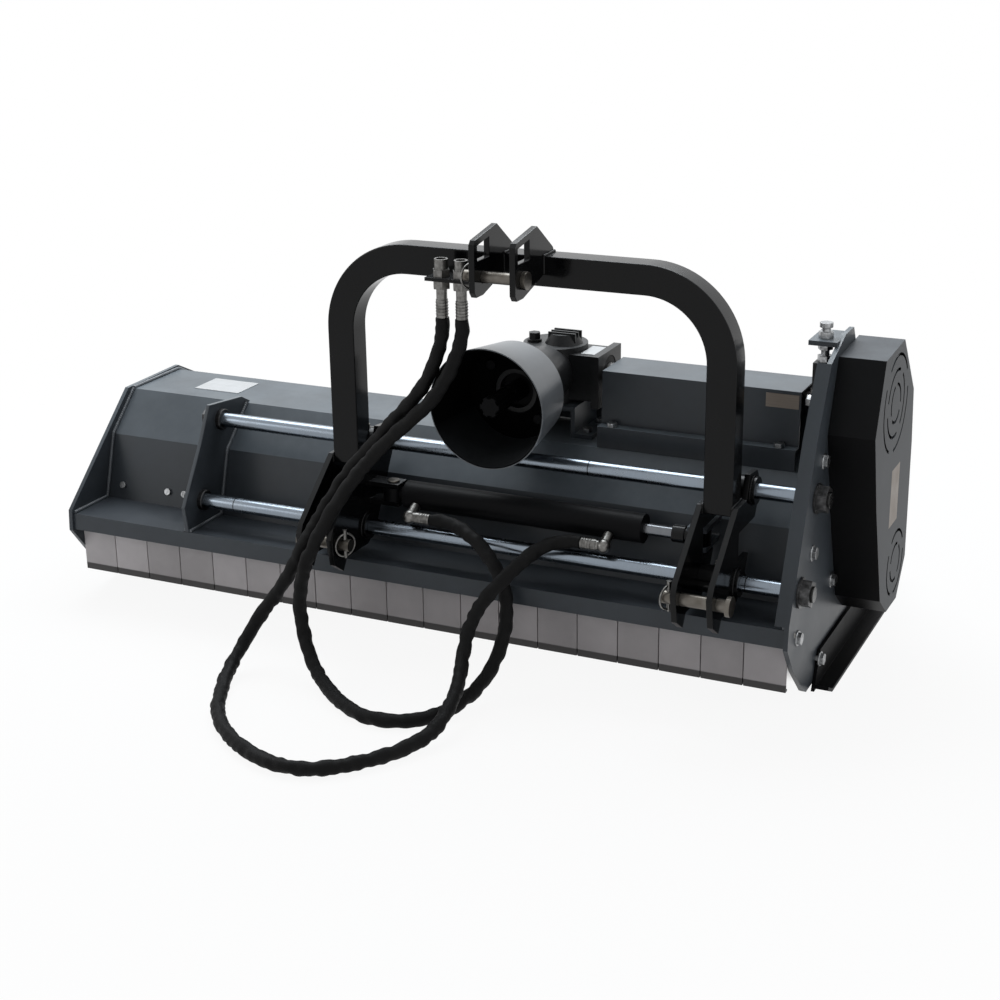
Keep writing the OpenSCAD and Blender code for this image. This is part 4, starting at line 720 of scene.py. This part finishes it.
# %% [markdown]
# ## Hose sleeves
# Each sleeve is a closed mesh tube with a ring of points at every step, kept just above the floor. Its UV
# map counts threads round and along. It stands for the CAD hose, which it hides, and rides on the hitch.

# %% Hose sleeves
hose_d = 0.025
ring_step, sleeve_sides = 0.004, 22
threads_round, thread_length = 26.0, 0.0034
floor_gap = 0.0006


def sleeve(name, route, node, seed):
    line, length = smooth_line(route, ring_step)
    sides, ups = carried_frames(line)
    turn = np.linspace(0, 2 * math.pi, sleeve_sides, endpoint=False)
    along = np.linspace(0, length, len(line))
    reach = sleeve_swell(along[:, None], turn[None, :], length, seed) * hose_d / 2
    sideways = np.cos(turn)[None, :, None] * sides[:, None, :]
    upwards = np.sin(turn)[None, :, None] * ups[:, None, :]
    rings = line[:, None, :] + reach[:, :, None] * (sideways + upwards)
    rings[:, :, 2] = np.maximum(rings[:, :, 2], floor_gap)
    verts = [tuple(v) for v in rings.reshape(-1, 3)]
    last = len(line) - 1
    starts = range(0, last * sleeve_sides, sleeve_sides)
    rounds = [(j, (j + 1) % sleeve_sides) for j in range(sleeve_sides)]
    faces = [(i + j, i + k, i + sleeve_sides + k, i + sleeve_sides + j) for i in starts for j, k in rounds]
    wall = len(faces)
    faces.append(tuple(range(sleeve_sides - 1, -1, -1)))
    faces.append(tuple(last * sleeve_sides + j for j in range(sleeve_sides)))
    mesh = bpy.data.meshes.new(name)
    mesh.from_pydata(verts, [], faces)
    layer = mesh.uv_layers.new(name="sleeve")
    for k, face in enumerate(mesh.polygons):
        face.use_smooth = k < wall
        for corner in face.loop_indices:
            i, j = divmod(mesh.loops[corner].vertex_index, sleeve_sides)
            if k < wall and j == 0 and k % sleeve_sides == sleeve_sides - 1:
                j = sleeve_sides
            layer.data[corner].uv = (j / sleeve_sides * threads_round, along[i] / thread_length)
    mesh.materials.append(sleeve_cloth)
    piece = bpy.data.objects.new(name, mesh)
    scene.collection.objects.link(piece)
    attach(piece, "hitch_frame")
    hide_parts(node)
    print(name, "is", round(length, 3), "m long")


sleeve("outer_sleeve", outer_route, "outer_hose", seed=11)
sleeve("inner_sleeve", inner_route, "inner_hose", seed=23)

# %% [markdown]
# ## Repeated small pieces
# Washers, hose crimps, collars and linch pins each repeat one shape, so one Geometry Nodes tree sets any
# small mesh on a list of points. Each point carries the way it faces and its size. The tree realizes the
# copies and sets their finish.

# %% Repeated small pieces


def node_tree(name, inputs):
    tree = bpy.data.node_groups.new(name, "GeometryNodeTree")
    tree.interface.new_socket("Geometry", in_out="INPUT", socket_type="NodeSocketGeometry")
    for label, kind, value in inputs:
        socket = tree.interface.new_socket(label, in_out="INPUT", socket_type=kind)
        if value is not None:
            socket.default_value = value
    tree.interface.new_socket("Geometry", in_out="OUTPUT", socket_type="NodeSocketGeometry")
    return tree, put(tree, "NodeGroupInput").outputs, put(tree, "NodeGroupOutput")


def finish_tree(tree, geometry, material, end):
    real = put(tree, "GeometryNodeRealizeInstances", {"Geometry": geometry})
    coated = put(tree, "GeometryNodeSetMaterial", {"Geometry": real.outputs[0], "Material": material})
    tree.links.new(coated.outputs[0], end.inputs[0])


set_on_points, given, end = node_tree("set_on_points", [("Piece", "NodeSocketObject", None),
                                                        ("Finish", "NodeSocketMaterial", None)])
facing = put(set_on_points, "GeometryNodeInputNamedAttribute", {"Name": "facing"}, data_type="FLOAT_VECTOR")
size = put(set_on_points, "GeometryNodeInputNamedAttribute", {"Name": "size"}, data_type="FLOAT")
aim = put(set_on_points, "FunctionNodeAlignRotationToVector", {"Vector": facing.outputs[0]}, axis="Z")
source = put(set_on_points, "GeometryNodeObjectInfo", {"Object": given["Piece"]})
copies = put(set_on_points, "GeometryNodeInstanceOnPoints",
             {"Points": given["Geometry"], "Instance": source.outputs["Geometry"],
              "Rotation": aim.outputs[0], "Scale": size.outputs[0]})
finish_tree(set_on_points, copies.outputs[0], given["Finish"], end)
print("made the tree", set_on_points.name)

# %% [markdown]
# ## Small turned shapes
# Each small piece is a closed outline of radius and height turned round Z, in units that a point's size
# then scales. A ring's outline is a small circle away from the axis.

# %% Small turned shapes
wire_r, wire_sides = 0.1, 10


def lathe(name, profile, around=28, smooth=False):
    verts = [(r * math.cos(2 * math.pi * k / around), r * math.sin(2 * math.pi * k / around), z)
             for k in range(around) for r, z in profile]
    n = len(profile)
    turns = [(k * n, (k + 1) % around * n) for k in range(around)]
    faces = [(a + i, b + i, b + (i + 1) % n, a + (i + 1) % n) for a, b in turns for i in range(n)]
    mesh = bpy.data.meshes.new(name)
    mesh.from_pydata(verts, [], faces)
    for face in mesh.polygons:
        face.use_smooth = smooth
    piece = bpy.data.objects.new(name, mesh)
    scene.collection.objects.link(piece)
    return piece


wire_turns = [2 * math.pi * k / wire_sides for k in range(wire_sides)]
washer = lathe("washer_shape", [(0.55, 0.0), (1.0, 0.0), (1.0, 0.1), (0.94, 0.16), (0.55, 0.16)])
crimp = lathe("crimp_shape", [(0.9, -0.07), (1.0, -0.05), (1.05, 0.0), (1.0, 0.05), (0.9, 0.07)])
collar = lathe("collar_shape", [(0.69, 0.0), (1.0, 0.0), (1.0, 0.36), (0.94, 0.42), (0.69, 0.42)], around=40)
clip_ring = lathe("ring_shape", [(1 + wire_r * math.cos(t), wire_r * math.sin(t)) for t in wire_turns],
                  around=48, smooth=True)
clip_shank = lathe("shank_shape", [(0.001, -1.2), (0.12, -1.2), (0.2, -1.0), (0.2, 1.4), (0.001, 1.4)])
seal = lathe("seal_shape", [(0.6, 0.0), (1.0, 0.0), (1.0, 0.1), (0.6, 0.1)], around=40)
small_shapes = (washer, crimp, collar, clip_ring, clip_shank, seal)
print("small shapes:", [shape.name for shape in small_shapes])

# %% [markdown]
# ## Washers
# Each bolt head on the outer plates sits on a washer. The tree's result is turned into a plain mesh
# before it rides on a body.

# %% Washers
right, left, up = (1.0, 0.0, 0.0), (-1.0, 0.0, 0.0), (0.0, 0.0, 1.0)
plate_out, skid_out = 704.0, 710.0
belt_side_bolts = ((-220, 405), (-265, 262), (-333, 139), (-132, 166))
skid_bolts = ((-205, 50), (90, 40))
roller_bolts = ((160, 90), (200, 90))
washer_r = 13.5


def grown(name, data, tree, values, body):
    """Runs a tree on mesh or curve data and keeps the result as a plain mesh that rides on a body."""
    seed = bpy.data.objects.new(name + "_seed", data)
    scene.collection.objects.link(seed)
    modifier = seed.modifiers.new(name, "NODES")
    modifier.node_group = tree
    for item in tree.interface.items_tree:
        if item.in_out == "INPUT" and item.name in values:
            modifier[item.identifier] = values[item.name]
    seed.update_tag()
    bpy.context.view_layer.update()
    evaluated = seed.evaluated_get(bpy.context.evaluated_depsgraph_get())
    mesh = bpy.data.meshes.new_from_object(evaluated)
    seed.modifiers.remove(modifier)
    bpy.data.objects.remove(seed)
    mesh.name = name
    piece = bpy.data.objects.new(name, mesh)
    scene.collection.objects.link(piece)
    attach(piece, body)
    print(name, "has", len(mesh.polygons), "faces")
    return piece


def marked_points(name, rows):
    """Points in the machine's own millimetres, each with the way it faces and a size in millimetres."""
    mesh = bpy.data.meshes.new(name)
    mesh.from_pydata([machine_point(row[0]) for row in rows], [], [])
    directions = mesh.attributes.new("facing", "FLOAT_VECTOR", "POINT")
    directions.data.foreach_set("vector", [c for row in rows for c in row[1]])
    sizes = mesh.attributes.new("size", "FLOAT", "POINT")
    sizes.data.foreach_set("value", [row[2] / 1000 for row in rows])
    return mesh


def set_pieces(name, source, rows, material, body):
    return grown(name, marked_points(name + "_points", rows), set_on_points,
                 {"Piece": source, "Finish": material}, body)


washer_rows = [((plate_out, y, z), right, washer_r) for y, z in belt_side_bolts]
for out, bolts in ((skid_out, skid_bolts), (plate_out, roller_bolts)):
    for y, z in bolts:
        washer_rows += [((out, y, z), right, washer_r), ((-out, y, z), left, washer_r)]
set_pieces("plate_washers", washer, washer_rows, dull_steel, "chassis")

# %% [markdown]
# ## Crimps, linch pins and collars
# Each hose end is pressed into its ferrule in rings. Linch pins hang in the ends of the link pins, with
# their rings turned a little to the front. The slide bars wear dark collars at the gusset, and a seal
# closes the gearbox round its output shaft.

# %% Crimps, linch pins and collars
bulkhead_xs, bulkhead_y, bulkhead_rings = (96.0, 132.0), -372.0, (628, 633, 638, 643, 648)
port_y, port_z, port_rings = -345.0, 252.0, (30, 35, 40, 44, 337, 341, 346, 351)
crimp_r = 10.4
crimp_rows = [((x, bulkhead_y, z), up, crimp_r) for x in bulkhead_xs for z in bulkhead_rings]
crimp_rows += [((x, port_y, port_z), right, crimp_r) for x in port_rings]
set_pieces("hose_crimps", crimp, crimp_rows, fitting_steel, "hitch_frame")

turned = math.radians(25.0)
ring_faces = (math.cos(turned), -math.sin(turned), 0.0)
clip_places = [(171.0, -415.0, 706.0), (-74.0, -429.0, 217.0), (518.0, -429.0, 217.0)]
clip_r = 20.0
for name, shape, faces in (("linch_rings", clip_ring, ring_faces), ("linch_shanks", clip_shank, up)):
    clip_rows = [(p, faces, clip_r) for p in clip_places]
    clip = set_pieces(name, shape, clip_rows, fitting_steel, "hitch_frame")
    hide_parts("linch_pins")

bar_places = ((-253.0, 352.0), (-329.0, 217.0))
collar_x, collar_r = -434.0, 20.0
collar_rows = [((collar_x, y, z), right, collar_r) for y, z in bar_places]
set_pieces("bar_collars", collar, collar_rows, dark_bolt, "chassis")
seal_place, seal_r = (268.0, -70.0, 470.0), 30.5
set_pieces("output_seal", seal, [(seal_place, right, seal_r)], black_dull_and_shade, "chassis")
for shape in small_shapes:
    bpy.data.objects.remove(shape)

# %% [markdown]
# ## Blank plate and two sheets of painted shade
# A small brown bare plate sits on the box's front face near the belt side. The space under the gearbox
# lies in shade, so a sheet of housing paint closes its stand as painted shade. The gaps between the flaps
# look into the shaded chamber, so a thin black sheet hangs behind the row as painted shade and swings with
# it.

# %% Blank plate and two sheets of painted shade
block_faces = [(0, 1, 3, 2), (4, 6, 7, 5), (0, 4, 5, 1), (2, 3, 7, 6), (0, 2, 6, 4), (1, 5, 7, 3)]


def sheet_block(name, low, high, material, body):
    corners = [(x, y, z) for x in (low[0], high[0]) for y in (low[1], high[1]) for z in (low[2], high[2])]
    mesh = bpy.data.meshes.new(name)
    mesh.from_pydata([machine_point(c) for c in corners], [], block_faces)
    mesh.materials.append(material)
    piece = bpy.data.objects.new(name, mesh)
    scene.collection.objects.link(piece)
    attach(piece, body)
    print(name, tuple(round(v, 3) for v in piece.dimensions))


sheet_block("box_plate", low=(580.0, -141.0, 462.0), high=(637.0, -139.7, 486.0), material=brown_plate,
            body="chassis")
# A sheet that stands in for the shade under the gearbox
sheet_block("stand_web", low=(84.0, -24.0, 361.0), high=(262.0, -20.0, 432.0), material=housing_paint,
            body="chassis")
# A black sheet behind the flaps' gaps: painted shade of the chamber
sheet_block("flap_lining", low=(-694.0, -352.6, 55.0), high=(694.0, -351.6, 140.0), material=black_dull_and_shade,
            body="flaps")

# %% [markdown]
# ## Weld bead
# A bead is a thin round of metal with even ripples. A tree resamples each seam line, makes its width rise
# and fall along the length, and sweeps a small circle along it.

# %% Weld bead
bead_step, bead_sides = 0.0011, 8
ripple_share, mean_share, noise_share = 0.13, 0.75, 0.5
weld_bead, given, end = node_tree("weld_bead", [("Width", "NodeSocketFloat", 0.006),
                                                ("Ripple", "NodeSocketFloat", 0.004),
                                                ("Finish", "NodeSocketMaterial", None)])
even = put(weld_bead, "GeometryNodeResampleCurve", {"Curve": given["Geometry"], "Length": bead_step},
           mode="LENGTH")
walked = put(weld_bead, "GeometryNodeSplineParameter").outputs["Length"]
turns = math_node(weld_bead, "DIVIDE", walked, given["Ripple"])
wave = math_node(weld_bead, "SINE", math_node(weld_bead, "MULTIPLY", turns, 2 * math.pi))
uneven = put(weld_bead, "ShaderNodeTexNoise", {"Scale": 60.0, "Detail": 2.0}).outputs[0]
swell = math_node(weld_bead, "MULTIPLY_ADD", wave, ripple_share, mean_share)
swollen = math_node(weld_bead, "MULTIPLY_ADD", uneven, noise_share, swell)
radius = math_node(weld_bead, "MULTIPLY", given["Width"], 0.5)
ring = put(weld_bead, "GeometryNodeCurvePrimitiveCircle", {"Resolution": bead_sides, "Radius": radius})
bead = put(weld_bead, "GeometryNodeCurveToMesh", {"Curve": even.outputs[0], "Profile Curve": ring.outputs[0],
                                                  "Scale": swollen, "Fill Caps": True})
finish_tree(weld_bead, bead.outputs[0], given["Finish"], end)


def seam_lines(name, lines):
    """Poly splines from points in the machine's millimetres; a list that ends where it began is closed."""
    data = bpy.data.curves.new(name, "CURVE")
    data.dimensions = "3D"
    for points in lines:
        closed = points[0] == points[-1]
        kept = points[:-1] if closed else points
        spline = data.splines.new("POLY")
        spline.points.add(len(kept) - 1)
        for target, p in zip(spline.points, kept):
            target.co = (*machine_point(p), 1.0)
        spline.use_cyclic_u = closed
    return data


def welds(name, lines, width, ripple, material, body):
    grown(name, seam_lines(name, lines), weld_bead, {"Width": width, "Ripple": ripple, "Finish": material},
          body)


print("made the tree", weld_bead.name)

# %% [markdown]
# ## Welds of the housing
# The end plates and the gusset are welded to the hood along its bent outline, and the rod's lug to the
# sloped wall.

# %% Welds of the housing
hood_side = [(-379, 172), (-277, 172), (-242, 290), (-166, 362)]
hood_back = [(-166, 362), (-14, 362), (126, 292), (217, 166)]
plate_seam = 694.5
gusset_seams = (-432.5, -443.5)
wall_foot_y, wall_foot_z, wall_lean = -275, 170, 35 / 119
lug_ends, lug_seams = (507, 541), (288.5, 263.5)
chassis_lines = [[(x, y, z) for y, z in hood_side] for x in (*gusset_seams, -plate_seam)]
chassis_lines.append([(plate_seam, y, z) for y, z in hood_side + hood_back[1:]])
chassis_lines.append([(-plate_seam, y, z) for y, z in hood_back])
for z in lug_seams:
    y = wall_foot_y + (z - wall_foot_z) * wall_lean
    chassis_lines.append([(x, y, z) for x in lug_ends])
welds("chassis_welds", chassis_lines, width=0.007, ripple=0.0045, material=weld_paint, body="chassis")

# %% [markdown]
# ## Welds of the hitch
# The sleeves are welded to the cheeks in rings, the cheeks to the arch's legs, and the top link lugs to
# the arch.

# %% Welds of the hitch
leg_xs, cheek_out, tube_half = (-120.0, 564.0), 35.0, 25.0
sleeve_seam_r, ring_points = 23.6, 40
tube_front, tube_back = -336.0, -289.0
leg_low, leg_high = 331.0, 346.0
lug_faces, lug_back = (181.5, 192.5, 251.5, 262.5), -293.0
arch_low, arch_high = 701.0, 730.0


def ring_line(x, y, z, r):
    turns = [2 * math.pi * k / ring_points for k in range(ring_points)]
    points = [(x, y + r * math.cos(t), z + r * math.sin(t)) for t in turns]
    return points + points[:1]


hitch_lines = []
for leg in leg_xs:
    for face in (leg - cheek_out, leg + cheek_out):
        hitch_lines += [ring_line(face, y, z, sleeve_seam_r) for y, z in bar_places]
    for edge in (leg - tube_half, leg + tube_half):
        hitch_lines.append([(edge, tube_front, leg_low), (edge, tube_front, leg_high),
                            (edge, tube_back, leg_high), (edge, tube_back, leg_low)])
for face in lug_faces:
    hitch_lines.append([(face, tube_front, arch_low), (face, tube_front, arch_high),
                        (face, lug_back, arch_high)])
welds("hitch_welds", hitch_lines, width=0.005, ripple=0.004, material=black_gloss, body="hitch_frame")
